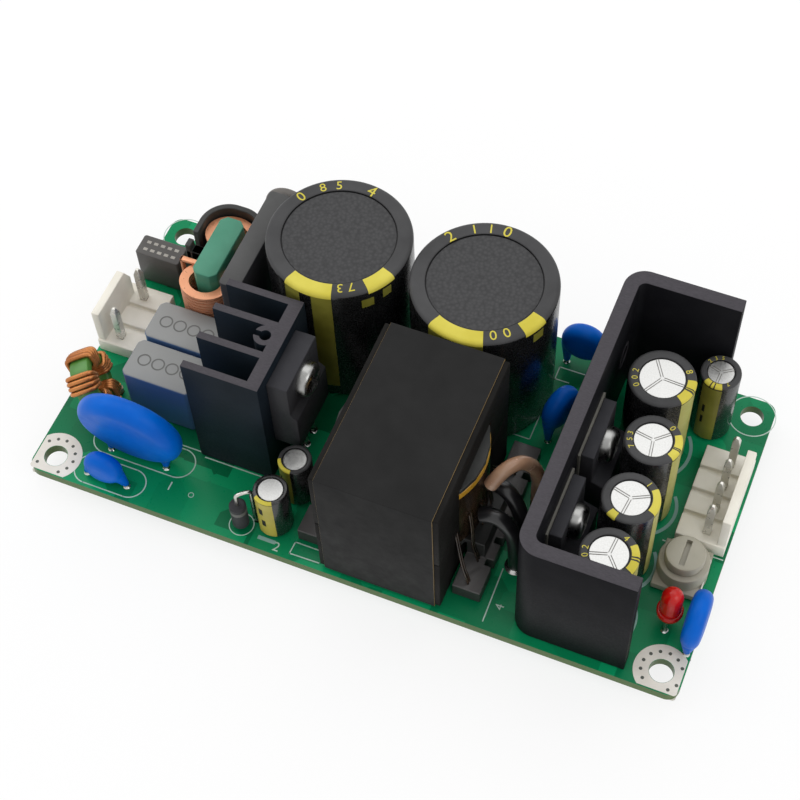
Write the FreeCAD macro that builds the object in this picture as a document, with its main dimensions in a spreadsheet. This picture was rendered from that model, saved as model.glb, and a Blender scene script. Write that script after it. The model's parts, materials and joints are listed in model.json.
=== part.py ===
import FreeCAD, Part
import math
import os
import Sketcher
from FreeCAD import Placement, Rotation, Vector

# Open frame power supply on a four by two inch board.
# Millimetres. The origin is the centre of the mounting hole pattern, on the underside of the board.
# +X runs along the board from the mains end to the output end, +Y to the back, +Z up.

SIZES = {
    # board
    "board_width": 50.8,
    "board_thickness": 1.6,
    "board_corner": 1.8,
    "hole_inset": 3.175,
    "hole_radius": 1.75,
    # leads that pass through the board
    "tail_length": 2.4,
    "solder_reach": 0.55,
    "bore_gap": 0.12,
    "wire_half": 0.3,
    "pin_half": 0.35,
    "standing_gap": 0.2,
    # the two headers
    "header_pitch": 3.96,
    "header_end": 1.95,
    "header_depth": 7.4,
    "header_inset": 0.4,
    "header_base": 2.6,
    "header_wall": 1.3,
    "header_wall_rise": 9.3,
    "header_wall_short": 1.6,
    "header_wall_end": 0.3,
    "output_header_gap": 2.0,
    "header_groove": 0.7,
    "post_half": 0.57,
    "post_inset": 3.2,
    "post_rise": 10.0,
    "post_taper": 1.1,
    "mains_y": 3.46,
    "output_y": 5.6,
    # box fuse
    "fuse_x": 4.1,
    "fuse_y": 13.9,
    "fuse_length": 7.5,
    "fuse_width": 3.7,
    "fuse_rise": 7.2,
    "fuse_pitch": 5.08,
    "fuse_corner": 0.25,
    # film capacitors
    "film_x": 15.7,
    "film_length": 11.4,
    "film_width": 6.8,
    "film_rise": 10.3,
    "film_front_y": -7.4,
    "film_gap": 0.6,
    "film_pitch": 7.5,
    "film_round": 0.7,
    # small toroid
    "toroid_x": 4.8,
    "toroid_y": -11.2,
    "toroid_rise": 5.85,
    "toroid_outer": 4.3,
    "toroid_inner": 2.6,
    "toroid_width": 3.2,
    "toroid_wire": 0.8,
    "toroid_ease": 0.06,
    "toroid_yaw": 30.0,
    "toroid_tilt": 20.0,
    "toroid_bundles": 5,
    "toroid_pair": 14.5,
    # coated discs
    "neck_foot": 0.51,
    "neck_length": 0.8,
    "disc_stand": 0.5,
    # varistor
    "varistor_x": 15.1,
    "varistor_y": -18.0,
    "varistor_rise": 8.6,
    "varistor_radius": 8.1,
    "varistor_width": 4.1,
    "varistor_pitch": 9.2,
    "varistor_lean": 8.7,
    # small disc capacitor at the front edge
    "front_disc_x": 12.3,
    "front_disc_y": -23.0,
    "front_disc_rise": 3.5,
    "front_disc_radius": 2.9,
    "front_disc_width": 3.0,
    "front_disc_pitch": 6.6,
    # common mode choke with flat wire coils
    "choke_x": 16.4,
    "choke_front": 5.9,
    "choke_length": 11.4,
    "choke_width": 4.0,
    "choke_foot": 1.9,
    "choke_rise": 16.6,
    "choke_yoke": 2.2,
    "choke_bevel": 0.9,
    "coil_shift": 0.35,
    "coil_reach_x": 4.1,
    "coil_reach_y": 3.5,
    "coil_band": 1.25,
    "coil_turns": 7,
    "coil_wire": 0.8,
    "coil_pitch": 1.3,
    "coil_strip": 0.4,
    "coil_strip_gap": 0.25,
    "holder_wall": 0.9,
    "holder_gap": 0.35,
    "collar_gap": 0.15,
    "collar_rise": 15.4,
    "collar_slot": 1.3,
    "holder_floor": 1.2,
    # bridge rectifier
    "bridge_x": 22.65,
    "bridge_front": 2.9,
    "bridge_width": 18.5,
    "bridge_thickness": 3.3,
    "bridge_bevel": 0.4,
    "bridge_stand": 3.9,
    "bridge_rise": 20.8,
    "bridge_pitch": 5.08,
    # inrush thermistor
    "thermistor_x": 23.0,
    "thermistor_y": 22.75,
    "thermistor_rise": 15.9,
    "thermistor_radius": 3.7,
    "thermistor_width": 2.3,
    "thermistor_pitch": 5.0,
    "thermistor_stand": 11.7,
    # finned heatsink
    "sink_face_x": 35.45,
    "sink_plate": 2.0,
    "sink_front": -14.0,
    "sink_rise": 24.2,
    "sink_reach": 11.8,
    "fin_thickness": 1.1,
    "fin_gap_front": 4.1,
    "fin_gap_middle": 4.2,
    "fin_gap_rear": 3.4,
    "sink_hub_radius": 1.7,
    "sink_hub_bore": 0.85,
    "sink_pin_half": 0.5,
    "sink_pin_rise": 3.0,
    # power transistor and its screw
    "package_width": 10.1,
    "package_height": 14.5,
    "package_upper": 6.4,
    "package_step": 0.9,
    "package_screw_drop": 3.5,
    "package_pitch": 2.54,
    "transistor_y": -6.5,
    "transistor_rise": 22.3,
    "transistor_thin": 3.2,
    "transistor_thick": 4.2,
    "screw_radius": 1.4,
    "screw_clearance": 0.15,
    "screw_head_radius": 2.6,
    "screw_head": 1.9,
    "screw_slot": 0.75,
    "screw_short": 0.3,
    # bulk capacitors
    "bulk_radius": 10.8,
    "bulk_rise": 26.0,
    "bulk_y": 13.5,
    "bulk_left_x": 36.0,
    "bulk_spacing": 22.4,
    "bulk_rim": 2.3,
    "bulk_bevel": 0.75,
    "bulk_recess": 0.3,
    "bulk_pitch": 10.0,
    # transformer
    "transformer_x": 57.2,
    "transformer_y": -11.3,
    "core_length": 26.9,
    "core_width": 18.6,
    "core_foot": 1.0,
    "core_half": 12.3,
    "core_yoke": 4.3,
    "core_window": 11.0,
    "core_post": 6.0,
    "core_gap": 0.1,
    "tape_thickness": 0.2,
    "tape_margin": 0.8,
    "bobbin_wall": 0.9,
    "bobbin_flange": 0.9,
    "bobbin_gap": 0.15,
    "web_width": 9.6,
    "web_inside": 7.7,
    "web_out": 2.8,
    "rail_width": 4.2,
    "rail_length": 25.6,
    "rail_shift": 2.3,
    "rail_rise": 2.8,
    "rail_out": 0.6,
    "rail_pitch": 3.81,
    "rail_pins": 6,
    "rail_notch": 1.1,
    "winding_reach": 3.35,
    "winding_tape": 0.3,
    # sleeved leads from the transformer to the board
    "clear_sleeve": 1.05,
    "black_sleeve": 1.15,
    "lead_reach": 5.9,
    "clear_rise": 18.6,
    "black_rise": 13.4,
    # small electrolytic capacitors
    "start_front_x": 39.0,
    "start_front_y": -20.5,
    "start_front_radius": 2.6,
    "start_front_rise": 10.1,
    "start_rear_x": 40.1,
    "start_rear_y": -14.5,
    "start_rear_radius": 2.5,
    "start_rear_rise": 9.7,
    "can_rim": 0.6,
    "can_bevel": 0.25,
    "can_recess": 0.25,
    "start_pitch": 2.0,
    # upright diode
    "diode_x": 34.3,
    "diode_y": -22.6,
    "diode_radius": 1.25,
    "diode_low": 0.6,
    "diode_length": 5.4,
    "diode_loop": 2.4,
    "diode_span_x": 1.75,
    "diode_span_y": 1.5,
    # channel heatsink
    "channel_x": 76.5,
    "channel_depth": 17.0,
    "channel_front": -24.1,
    "channel_width": 48.6,
    "channel_rise": 24.6,
    "channel_wall": 2.2,
    "channel_outer": 3.2,
    "channel_inner": 1.1,
    "channel_hole_y": 17.5,
    "channel_hole_rise": 12.5,
    "channel_hole": 1.6,
    # output rectifiers on the channel
    "pad_thickness": 0.3,
    "pad_margin": 0.5,
    "rectifier_rear_y": 2.0,
    "rectifier_front_y": -11.2,
    "rectifier_rise": 16.6,
    "rectifier_thin": 1.9,
    "rectifier_thick": 4.1,
    # output capacitors
    "output_rise": 18.4,
    "output_a_x": 85.8,
    "output_a_y": 12.0,
    "output_a_radius": 4.9,
    "output_a_pitch": 5.0,
    "output_b_x": 87.7,
    "output_b_y": 1.9,
    "output_c_y": -7.9,
    "output_d_y": -17.0,
    "output_radius": 4.1,
    "output_pitch": 3.5,
    "filter_x": 92.9,
    "filter_y": 18.5,
    "filter_radius": 3.0,
    "filter_rise": 14.6,
    "filter_pitch": 2.5,
    # trimmer
    "trimmer_x": 96.4,
    "trimmer_y": -6.7,
    "trimmer_radius": 3.7,
    "trimmer_plate_x": 7.0,
    "trimmer_plate_y": 7.8,
    "trimmer_row": 2.5,
    "trimmer_pitch": 1.6,
    "trimmer_body_low": 0.2,
    "trimmer_body_rise": 4.2,
    "trimmer_rotor_rise": 6.1,
    "trimmer_rotor_radius": 2.9,
    "trimmer_stem": 1.3,
    "trimmer_sink": 1.2,
    "trimmer_gap": 0.3,
    "trimmer_slot": 0.8,
    "trimmer_base_rise": 1.3,
    # light emitting diode
    "led_x": 96.9,
    "led_y": -14.9,
    "led_radius": 1.55,
    "led_flange": 1.9,
    "led_low": 3.4,
    "led_flange_rise": 4.4,
    "led_rise": 9.5,
    "led_pitch": 2.54,
    # blue disc capacitors
    "edge_disc_x": 100.8,
    "edge_disc_y": -15.3,
    "edge_disc_rise": 4.9,
    "edge_disc_radius": 4.2,
    "edge_disc_width": 3.0,
    "edge_disc_pitch": 6.4,
    "safety_x": 71.6,
    "safety_y": 21.6,
    "safety_radius": 3.4,
    "safety_width": 3.2,
    "safety_rise": 6.6,
    "safety_pitch": 5.0,
    "bridging_x": 72.1,
    "bridging_y": 9.4,
    "bridging_yaw": 70.0,
    # small parts on the underside
    "chip_length": 4.9,
    "chip_width": 3.9,
    "chip_height": 1.5,
    "chip_leg": 1.0,
    "chip_foot": 0.45,
    "chip_gap": 0.1,
    "chip_pitch": 1.27,
    "chip_left": 4.4,
    "chip_drop": 2.2,
    "coupler_right": 10.8,
    "coupler_y": 14.5,
    "resistor_column": 4.4,
    "resistor_row": 3.0,
    "coupler_length": 4.6,
    "coupler_width": 6.4,
    "coupler_height": 2.0,
    "resistor_length": 2.0,
    "resistor_width": 1.25,
    "resistor_height": 0.55,
}

doc = FreeCAD.newDocument("open_frame_power_supply")
sheet = doc.addObject("Spreadsheet::Sheet", "sizes")
for row, (word, number) in enumerate(SIZES.items(), start=1):
    sheet.set("A%d" % row, word)
    sheet.set("B%d" % row, str(number))
    sheet.setAlias("B%d" % row, word)
doc.recompute()


class Size:
    """A length that knows its value and the formula that ties it to the sheet."""

    def __init__(self, value, formula):
        self.value = value
        self.formula = formula

    def joined(self, other, sign, value):
        return Size(value, "(%s %s %s)" % (self.formula, sign, other.formula))

    def __add__(self, other):
        other = as_size(other)
        return self.joined(other, "+", self.value + other.value)

    def __radd__(self, other):
        return as_size(other) + self

    def __sub__(self, other):
        other = as_size(other)
        return self.joined(other, "-", self.value - other.value)

    def __rsub__(self, other):
        return as_size(other) - self

    def __mul__(self, other):
        other = as_size(other)
        return self.joined(other, "*", self.value * other.value)

    def __rmul__(self, other):
        return as_size(other) * self

    def __truediv__(self, other):
        other = as_size(other)
        return self.joined(other, "/", self.value / other.value)

    def __neg__(self):
        return as_size(0) - self

    def __float__(self):
        return float(self.value)


def as_size(number):
    return number if isinstance(number, Size) else Size(float(number), repr(float(number)))


class Sheet:
    """Gives each word of the sheet as a size."""

    def __getattr__(self, word):
        return Size(float(sheet.get(word)), "sizes." + word)


s = Sheet()
TOP = s.board_thickness
NODES = []

# The output header stands behind the output capacitors, and the board ends behind it.
BOARD_LENGTH = s.output_b_x + s.output_radius + s.output_header_gap + s.header_depth + s.header_inset
HOLE_SPAN_LONG = BOARD_LENGTH - 2 * s.hole_inset
HOLE_SPAN_SHORT = s.board_width - 2 * s.hole_inset


def station(distance):
    """The x of a place that far from the mains end of the board."""
    return distance - BOARD_LENGTH / 2


def bind(item, place, length):
    item.setExpression(place, as_size(length).formula)


def keep(item, name):
    """Lists a finished piece under its own name."""
    item.Label = name
    NODES.append((name, item))
    return item


def block(name, x, y, z):
    """A plain block; each of x, y and z is its low and its high side."""
    item = doc.addObject("Part::Box", name)
    for axis, length, (low, high) in zip("xyz", ("Length", "Width", "Height"), (x, y, z)):
        bind(item, "Placement.Base." + axis, low)
        bind(item, length, as_size(high) - low)
    return item


def rod(name, x, y, z, radius, height):
    """An upright cylinder."""
    item = doc.addObject("Part::Cylinder", name)
    for axis, place in zip("xyz", (x, y, z)):
        bind(item, "Placement.Base." + axis, place)
    bind(item, "Radius", radius)
    bind(item, "Height", height)
    return item


def drum(name, x, y, z, radius, height, sides):
    """An upright many-sided drum, for round things that have no need of a true cylinder."""
    item = doc.addObject("Part::Prism", name)
    item.Polygon = sides
    for axis, place in zip("xyz", (x, y, z)):
        bind(item, "Placement.Base." + axis, place)
    bind(item, "Circumradius", radius)
    bind(item, "Height", height)
    return item


def joined(name, items):
    item = doc.addObject("Part::MultiFuse", name)
    item.Shapes = items
    item.Refine = True
    return item


def less(name, item, tool):
    result = doc.addObject("Part::Cut", name)
    result.Base = item
    result.Tool = tool
    return result


def group(name, shapes):
    """Several separate solids kept as one piece of the model."""
    item = doc.addObject("Part::Feature", name)
    item.Shape = Part.makeCompound(shapes)
    item.Placement = Placement()
    return item


class Body:
    """A body made of outlines that are drawn on its own planes, then padded or cut."""

    SIDE = {"XY": 1, "XZ": -1, "YZ": 1}

    def __init__(self, name):
        self.name = name
        self.item = doc.addObject("PartDesign::Body", name)
        self.count = 0

    def outline(self, plane, height, loops):
        """Draws closed loops on a plane that stands at height; a loop is a list of corners or a circle."""
        self.count += 1
        drawing = self.item.newObject("Sketcher::SketchObject", "%s_outline_%d" % (self.name, self.count))
        planes = [f for f in self.item.Origin.OriginFeatures if f.Role == plane + "_Plane"]
        drawing.AttachmentSupport = [(planes[0], "")]
        drawing.MapMode = "FlatFace"
        bind(drawing, "AttachmentOffset.Base.z", as_size(height) * self.SIDE[plane])
        for loop in loops:
            if loop[0] == "circle":
                draw_circle(drawing, *loop[1:])
            else:
                draw_corners(drawing, loop)
        return drawing

    def feature(self, kind, drawing, length, backwards):
        self.count += 1
        made = self.item.newObject("PartDesign::" + kind, "%s_%s_%d" % (self.name, kind.lower(), self.count))
        made.Profile = drawing
        bind(made, "Length", length)
        made.Reversed = backwards
        return made

    def start_height(self, plane, low, high):
        return high if plane == "XZ" else low

    def pad(self, plane, low, high, loops):
        """Adds material between two heights over a plane."""
        drawing = self.outline(plane, self.start_height(plane, low, high), loops)
        return self.feature("Pad", drawing, as_size(high) - low, False)

    def pocket(self, plane, low, high, loops):
        """Takes material away between two heights over a plane."""
        drawing = self.outline(plane, self.start_height(plane, low, high), loops)
        return self.feature("Pocket", drawing, as_size(high) - low, True)

    def round_edges(self, radius, chosen, kind="Fillet"):
        """Rounds or bevels those edges of the body so far that the test picks."""
        doc.recompute()
        base = self.item.Tip
        names = ["Edge%d" % (i + 1) for i, edge in enumerate(base.Shape.Edges) if chosen(edge)]
        made = self.item.newObject("PartDesign::" + kind, "%s_%s_%d" % (self.name, kind.lower(), self.count))
        made.Base = (base, names)
        bind(made, "Radius" if kind == "Fillet" else "Size", radius)
        return made


def draw_circle(drawing, u, v, radius):
    u, v, radius = as_size(u), as_size(v), as_size(radius)
    circle = Part.Circle(Vector(u.value, v.value, 0), Vector(0, 0, 1), radius.value)
    index = drawing.addGeometry(circle, False)
    for kind, length in (("DistanceX", u), ("DistanceY", v)):
        rule = drawing.addConstraint(Sketcher.Constraint(kind, -1, 1, index, 3, length.value))
        bind(drawing, "Constraints[%d]" % rule, length)
    rule = drawing.addConstraint(Sketcher.Constraint("Radius", index, radius.value))
    bind(drawing, "Constraints[%d]" % rule, radius)


def draw_corners(drawing, corners):
    corners = [(as_size(u), as_size(v)) for u, v in corners]
    points = [Vector(u.value, v.value, 0) for u, v in corners]
    ends = points[1:] + points[:1]
    lines = [Part.LineSegment(a, b) for a, b in zip(points, ends)]
    first = drawing.addGeometry(lines, False)[0]
    count = len(corners)
    for i in range(count):
        drawing.addConstraint(Sketcher.Constraint("Coincident", first + i, 2, first + (i + 1) % count, 1))
    for i, corner in enumerate(corners):
        for kind, length in zip(("DistanceX", "DistanceY"), corner):
            rule = drawing.addConstraint(Sketcher.Constraint(kind, -1, 1, first + i, 1, length.value))
            bind(drawing, "Constraints[%d]" % rule, length)


def rectangle(u, v):
    return [(u[0], v[0]), (u[1], v[0]), (u[1], v[1]), (u[0], v[1])]


def around(middle, size):
    return middle - size / 2, middle + size / 2


def regular(x, y, radius, sides):
    """The corners of a many-sided outline round x and y."""
    turns = [2 * math.pi * (i + 0.5) / sides for i in range(sides)]
    return [(x + radius * math.cos(turn), y + radius * math.sin(turn)) for turn in turns]


def stack(rings):
    """A solid whose skin runs over rings of corners, from the first ring to the last."""
    faces = [Part.Face(Part.makePolygon(ring + ring[:1])) for ring in (rings[0], rings[-1])]
    for low, high in zip(rings, rings[1:]):
        for i in range(len(low)):
            j = (i + 1) % len(low)
            faces.append(Part.Face(Part.makePolygon([low[i], low[j], high[j], high[i], low[i]])))
    return sound(faces)


def sound(faces):
    """The solid inside a closed skin of faces."""
    solid = Part.makeSolid(Part.makeShell(faces))
    if solid.Volume < 0:
        solid.reverse()
    return solid


def turned(profile, sides):
    """A many-sided solid round the Z axis, from (radius, height) corners of its outline."""
    turns = [2 * math.pi * (i + 0.5) / sides for i in range(sides)]
    return stack([[Vector(radius * math.cos(turn), radius * math.sin(turn), height) for turn in turns]
                  for radius, height in profile])


def upright(edge):
    ends = [vertex.Point for vertex in edge.Vertexes]
    if len(ends) != 2:
        return False
    run = ends[1] - ends[0]
    return abs(run.x) + abs(run.y) < 1e-6


def at_height(edge, height):
    return all(abs(vertex.Point.z - float(height)) < 1e-6 for vertex in edge.Vertexes)


# Leads: each one is a bar that goes through its own bore and ends in a taper of solder.

class Lead:
    def __init__(self, node, x, y, rise, half_x, half_y, tip=0.0):
        self.node = node
        self.x = float(x)
        self.y = float(y)
        self.top = float(TOP) + float(rise)
        self.half_x = float(half_x)
        self.half_y = float(half_y)
        self.tip = float(tip)

    def section(self, z, grow=0.0):
        """The corners of a rectangle across the lead at height z."""
        a = self.half_x + grow
        b = self.half_y + grow
        return [Vector(self.x + u, self.y + v, z) for u, v in ((-a, -b), (a, -b), (a, b), (-a, b))]

    def bore(self):
        low = self.section(0.0, s.bore_gap.value)
        return Part.Face(Part.makePolygon(low + low[:1])).extrude(Vector(0, 0, s.board_thickness.value))

    def solid(self):
        rings = [self.section(-s.tail_length.value),
                 self.section(0.0, s.solder_reach.value),
                 self.section(0.0)]
        if self.tip:
            rings += [self.section(self.top - self.tip), self.section(self.top, -self.half_x / 2)]
        else:
            rings.append(self.section(self.top))
        return stack(rings)


LEADS = []


def lead(node, x, y, rise, half_x, half_y=None, tip=0.0):
    LEADS.append(Lead(node, x, y, rise, half_x, half_x if half_y is None else half_y, tip))


def wires(x, y, pitch, rise, along="x", node="component_leads"):
    """Two round wires side by side under a part, written as square bars."""
    for side in (-1, 1):
        step = side * float(pitch) / 2
        dx, dy = (step, 0.0) if along == "x" else (0.0, step)
        lead(node, float(x) + dx, float(y) + dy, rise, s.wire_half)


# Headers: a base that holds square posts, with a locking wall at the board's end.

def header(name, middle, count, missing, end):
    """end is -1 for the mains end and 1 for the output end of the board."""
    edge = end * (BOARD_LENGTH / 2 - s.header_inset)
    inner = edge - end * s.header_depth
    half = s.header_pitch * (count - 1) / 2 + s.header_end
    y_span = (middle - half, middle + half)
    x_span = (edge, inner) if end < 0 else (inner, edge)
    wall_inside = edge - end * s.header_wall
    wall_span = (edge, wall_inside) if end < 0 else (wall_inside, edge)
    body = Body(name + "_housing")
    body.pad("XY", TOP, TOP + s.header_base, [rectangle(x_span, y_span)])
    low, high = y_span[0] + s.header_wall_end, y_span[1] - s.header_wall_short
    top = TOP + s.header_wall_rise
    slope = s.header_wall
    body.pad("YZ", wall_span[0], wall_span[1],
             [[(low, TOP + s.header_base / 2), (high, TOP + s.header_base / 2),
               (high, top - 2 * slope), (high - slope, top), (low, top)]])
    post_x = edge - end * s.post_inset
    posts = [i for i in range(count) if i not in missing]
    places = [middle + s.header_pitch * (i - (count - 1) / 2) for i in range(count)]
    thickness = 2 * s.post_half
    body.pocket("XY", TOP, TOP + s.header_base,
                [rectangle(around(post_x, thickness), around(places[i], thickness)) for i in posts])
    grooves = [places[i] + s.header_pitch / 2 for i in range(count - 1)]
    groove_x = (wall_span[1], x_span[1]) if end < 0 else (x_span[0], wall_span[0])
    body.pocket("XY", TOP + s.header_base - s.header_groove, TOP + s.header_base,
                [rectangle(groove_x, around(y, s.header_groove)) for y in grooves])
    keep(body.item, name + "_housing")
    for i in posts:
        lead(name + "_pins", post_x, places[i], s.post_rise, s.post_half, tip=s.post_taper)


header("mains_header", s.mains_y, 3, [1], -1)
header("output_header", s.output_y, 4, [], 1)


# Plain moulded boxes: the fuse and the two film capacitors.

def moulded_box(name, x, y, length, width, rise, corner, pitch):
    body = Body(name)
    body.pad("XY", TOP + s.standing_gap, TOP + rise, [rectangle(around(x, length), around(y, width))])
    body.round_edges(corner, upright, "Chamfer")
    keep(body.item, name)
    wires(x, y, pitch, s.standing_gap)


moulded_box("box_fuse", station(s.fuse_x), s.fuse_y, s.fuse_length, s.fuse_width, s.fuse_rise,
            s.fuse_corner, s.fuse_pitch)
film_rear_y = s.film_front_y + s.film_width + s.film_gap
for name, y in (("film_capacitor_front", s.film_front_y), ("film_capacitor_rear", film_rear_y)):
    moulded_box(name, station(s.film_x), y, s.film_length, s.film_width, s.film_rise,
                s.film_round, s.film_pitch)


# Small toroid: a ring core with square-cornered turns of wire round it.

def leaning(x, y, rise, yaw, tilt):
    """The place of a ring whose axis points along its own X, turned by yaw and tipped up by tilt."""
    turn = Rotation(Vector(0, 0, 1), yaw).multiply(Rotation(Vector(0, 1, 0), -tilt))
    return Placement(Vector(float(x), float(y), float(TOP) + float(rise)), turn)


toroid_place = leaning(station(s.toroid_x), s.toroid_y, s.toroid_rise,
                       float(s.toroid_yaw), float(s.toroid_tilt))


def ring_drum(name, radius, height):
    item = doc.addObject("Part::Prism", name)
    item.Polygon = 24
    bind(item, "Circumradius", radius)
    bind(item, "Height", height)
    item.Placement = Placement(Vector(-float(height) / 2, 0, 0), Rotation(Vector(0, 1, 0), 90))
    return item


toroid_core = less("toroid_core", ring_drum("toroid_outside", s.toroid_outer, s.toroid_width),
                   ring_drum("toroid_inside", s.toroid_inner, s.toroid_width))
toroid_core.Placement = toroid_place
keep(toroid_core, "toroid_core")


def toroid_turn(angle):
    """One turn of wire as a frame round the section of the core."""
    wire = s.toroid_wire.value
    inner = s.toroid_inner.value
    outer = s.toroid_outer.value
    half = s.toroid_width.value / 2
    inner -= s.toroid_ease.value
    outside = Part.makeBox(2 * (half + wire), wire, outer - inner + 2 * wire,
                           Vector(-half - wire, -wire / 2, inner - wire))
    inside = Part.makeBox(2 * half, wire, outer - inner, Vector(-half, -wire / 2, inner))
    frame = outside.cut(inside)
    frame.rotate(Vector(0, 0, 0), Vector(1, 0, 0), angle)
    return frame


def toroid_leads(angle):
    """The two wire ends that leave one turn and go down through the board."""
    side = s.toroid_width.value / 2 + s.toroid_wire.value / 2
    reach = s.toroid_outer.value + s.toroid_wire.value / 2
    turn = math.radians(angle)
    ends = []
    for face in (-1, 1):
        place = toroid_place.multVec(Vector(face * side, -reach * math.sin(turn), reach * math.cos(turn)))
        ends.append(Lead("toroid_windings", place.x, place.y, place.z - float(TOP), s.wire_half, s.wire_half))
    return ends


toroid_wires = []
for i in range(int(float(s.toroid_bundles))):
    for side in (-1, 1):
        angle = 180 + 360.0 * i / float(s.toroid_bundles) + side * float(s.toroid_pair)
        wire_turn = toroid_turn(angle)
        wire_turn.Placement = toroid_place.multiply(wire_turn.Placement)
        if i == 0:
            ends = toroid_leads(angle)
            LEADS += ends
            wire_turn = wire_turn.multiFuse([item.solid() for item in ends])
        toroid_wires.append(wire_turn)
keep(group("toroid_windings", toroid_wires), "toroid_windings")


# Coated discs: a round, rimmed lens with two coated necks that run down to its legs.

def disc_shape(radius, width, lean):
    """A rimmed lens whose axis points along Y, leaning back by an angle."""
    half = width / 2
    rim = half * 0.5
    flat = radius - 0.7 * half
    lens = turned([(flat, -half), (radius, -rim), (radius, rim), (flat, half)], 22)
    lens.rotate(Vector(0, 0, 0), Vector(1, 0, 0), 90 + lean)
    return lens


def coated_disc(name, x, y, rise, radius, width, pitch, leg_rise, yaw=0.0, lean=0.0):
    """A coated disc with two necks that run down to its legs, which stand pitch apart."""
    radius, width, pitch, drop = (float(value) for value in (radius, width, pitch, as_size(rise) - leg_rise))
    foot = s.neck_foot.value
    shoulder = min(2.2 * foot, 0.75 * width / 2)
    reach = min(pitch / 2, radius * 0.72)
    up = max(shoulder - math.sqrt(radius ** 2 - reach ** 2), s.neck_length.value - drop)
    back = -up * math.tan(math.radians(lean))
    parts = []
    for side in (-1, 1):
        low = regular(side * pitch / 2, 0, foot, 8)
        high = regular(side * reach, back, shoulder, 8)
        parts.append(stack([[Vector(u, v, -drop) for u, v in low], [Vector(u, v, up) for u, v in high]]))
    item = doc.addObject("Part::Feature", name)
    item.Shape = disc_shape(radius, width, lean).multiFuse(parts)
    item.Placement = Placement(Vector(float(x), float(y), float(TOP) + float(rise)),
                               Rotation(Vector(0, 0, 1), yaw))
    keep(item, name)
    for side in (-1, 1):
        away = Rotation(Vector(0, 0, 1), yaw).multVec(Vector(side * pitch / 2, 0, 0))
        lead("component_leads", float(x) + away.x, float(y) + away.y, leg_rise, s.wire_half)


coated_disc("varistor", station(s.varistor_x), s.varistor_y, s.varistor_rise, s.varistor_radius,
            s.varistor_width, s.varistor_pitch, s.disc_stand, lean=float(s.varistor_lean))
coated_disc("front_disc_capacitor", station(s.front_disc_x), s.front_disc_y, s.front_disc_rise,
            s.front_disc_radius, s.front_disc_width, s.front_disc_pitch, s.disc_stand)
coated_disc("edge_disc_capacitor", station(s.edge_disc_x), s.edge_disc_y, s.edge_disc_rise,
            s.edge_disc_radius, s.edge_disc_width, s.edge_disc_pitch, s.disc_stand, yaw=90.0)
coated_disc("safety_capacitor", station(s.safety_x), s.safety_y, s.safety_rise,
            s.safety_radius, s.safety_width, s.safety_pitch, s.disc_stand)
coated_disc("bridging_capacitor", station(s.bridging_x), s.bridging_y, s.safety_rise,
            s.safety_radius, s.safety_width, s.safety_pitch, s.disc_stand, yaw=float(s.bridging_yaw))


# The thermistor is such a disc too, and stands on two long bare legs.
coated_disc("thermistor", station(s.thermistor_x), s.thermistor_y, s.thermistor_rise, s.thermistor_radius,
            s.thermistor_width, s.thermistor_pitch, s.thermistor_stand)


# Common mode choke: a closed square core whose two legs carry edgewise coils of flat wire.

choke_rear = s.choke_front + s.choke_length
choke_low = TOP + s.choke_foot
choke_top = TOP + s.choke_rise
choke_sides = around(station(s.choke_x), s.choke_width)
leg_front_y = s.choke_front + s.choke_yoke / 2
leg_rear_y = choke_rear - s.choke_yoke / 2
coil_x = station(s.choke_x) - s.coil_shift


def on_choke_end(edge):
    y = edge.Vertexes[0].Point.y
    return min(abs(y - float(s.choke_front)), abs(y - float(choke_rear))) < 1e-3


core = Body("choke_core")
core.pad("YZ", choke_sides[0], choke_sides[1],
         [rectangle((s.choke_front, choke_rear), (choke_low, choke_top))])
core.pocket("YZ", choke_sides[0], choke_sides[1],
            [rectangle((s.choke_front + s.choke_yoke, choke_rear - s.choke_yoke),
                       (choke_low + s.choke_yoke, choke_top - s.choke_yoke))])
core.round_edges(s.choke_bevel, lambda edge: upright(edge) and on_choke_end(edge), "Chamfer")
keep(core.item, "choke_core")


def oval(middle_x, middle_y, reach_x, reach_y, steps):
    """The corners of one flat turn: two half rounds with a short straight between them."""
    straight = reach_x - reach_y
    corners = []
    for i in range(steps):
        turn = 2 * math.pi * (i + 0.5) / steps
        side = 1 if math.cos(turn) > 0 else -1
        corners.append((middle_x + side * straight + reach_y * math.cos(turn),
                        middle_y + reach_y * math.sin(turn)))
    return corners


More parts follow.
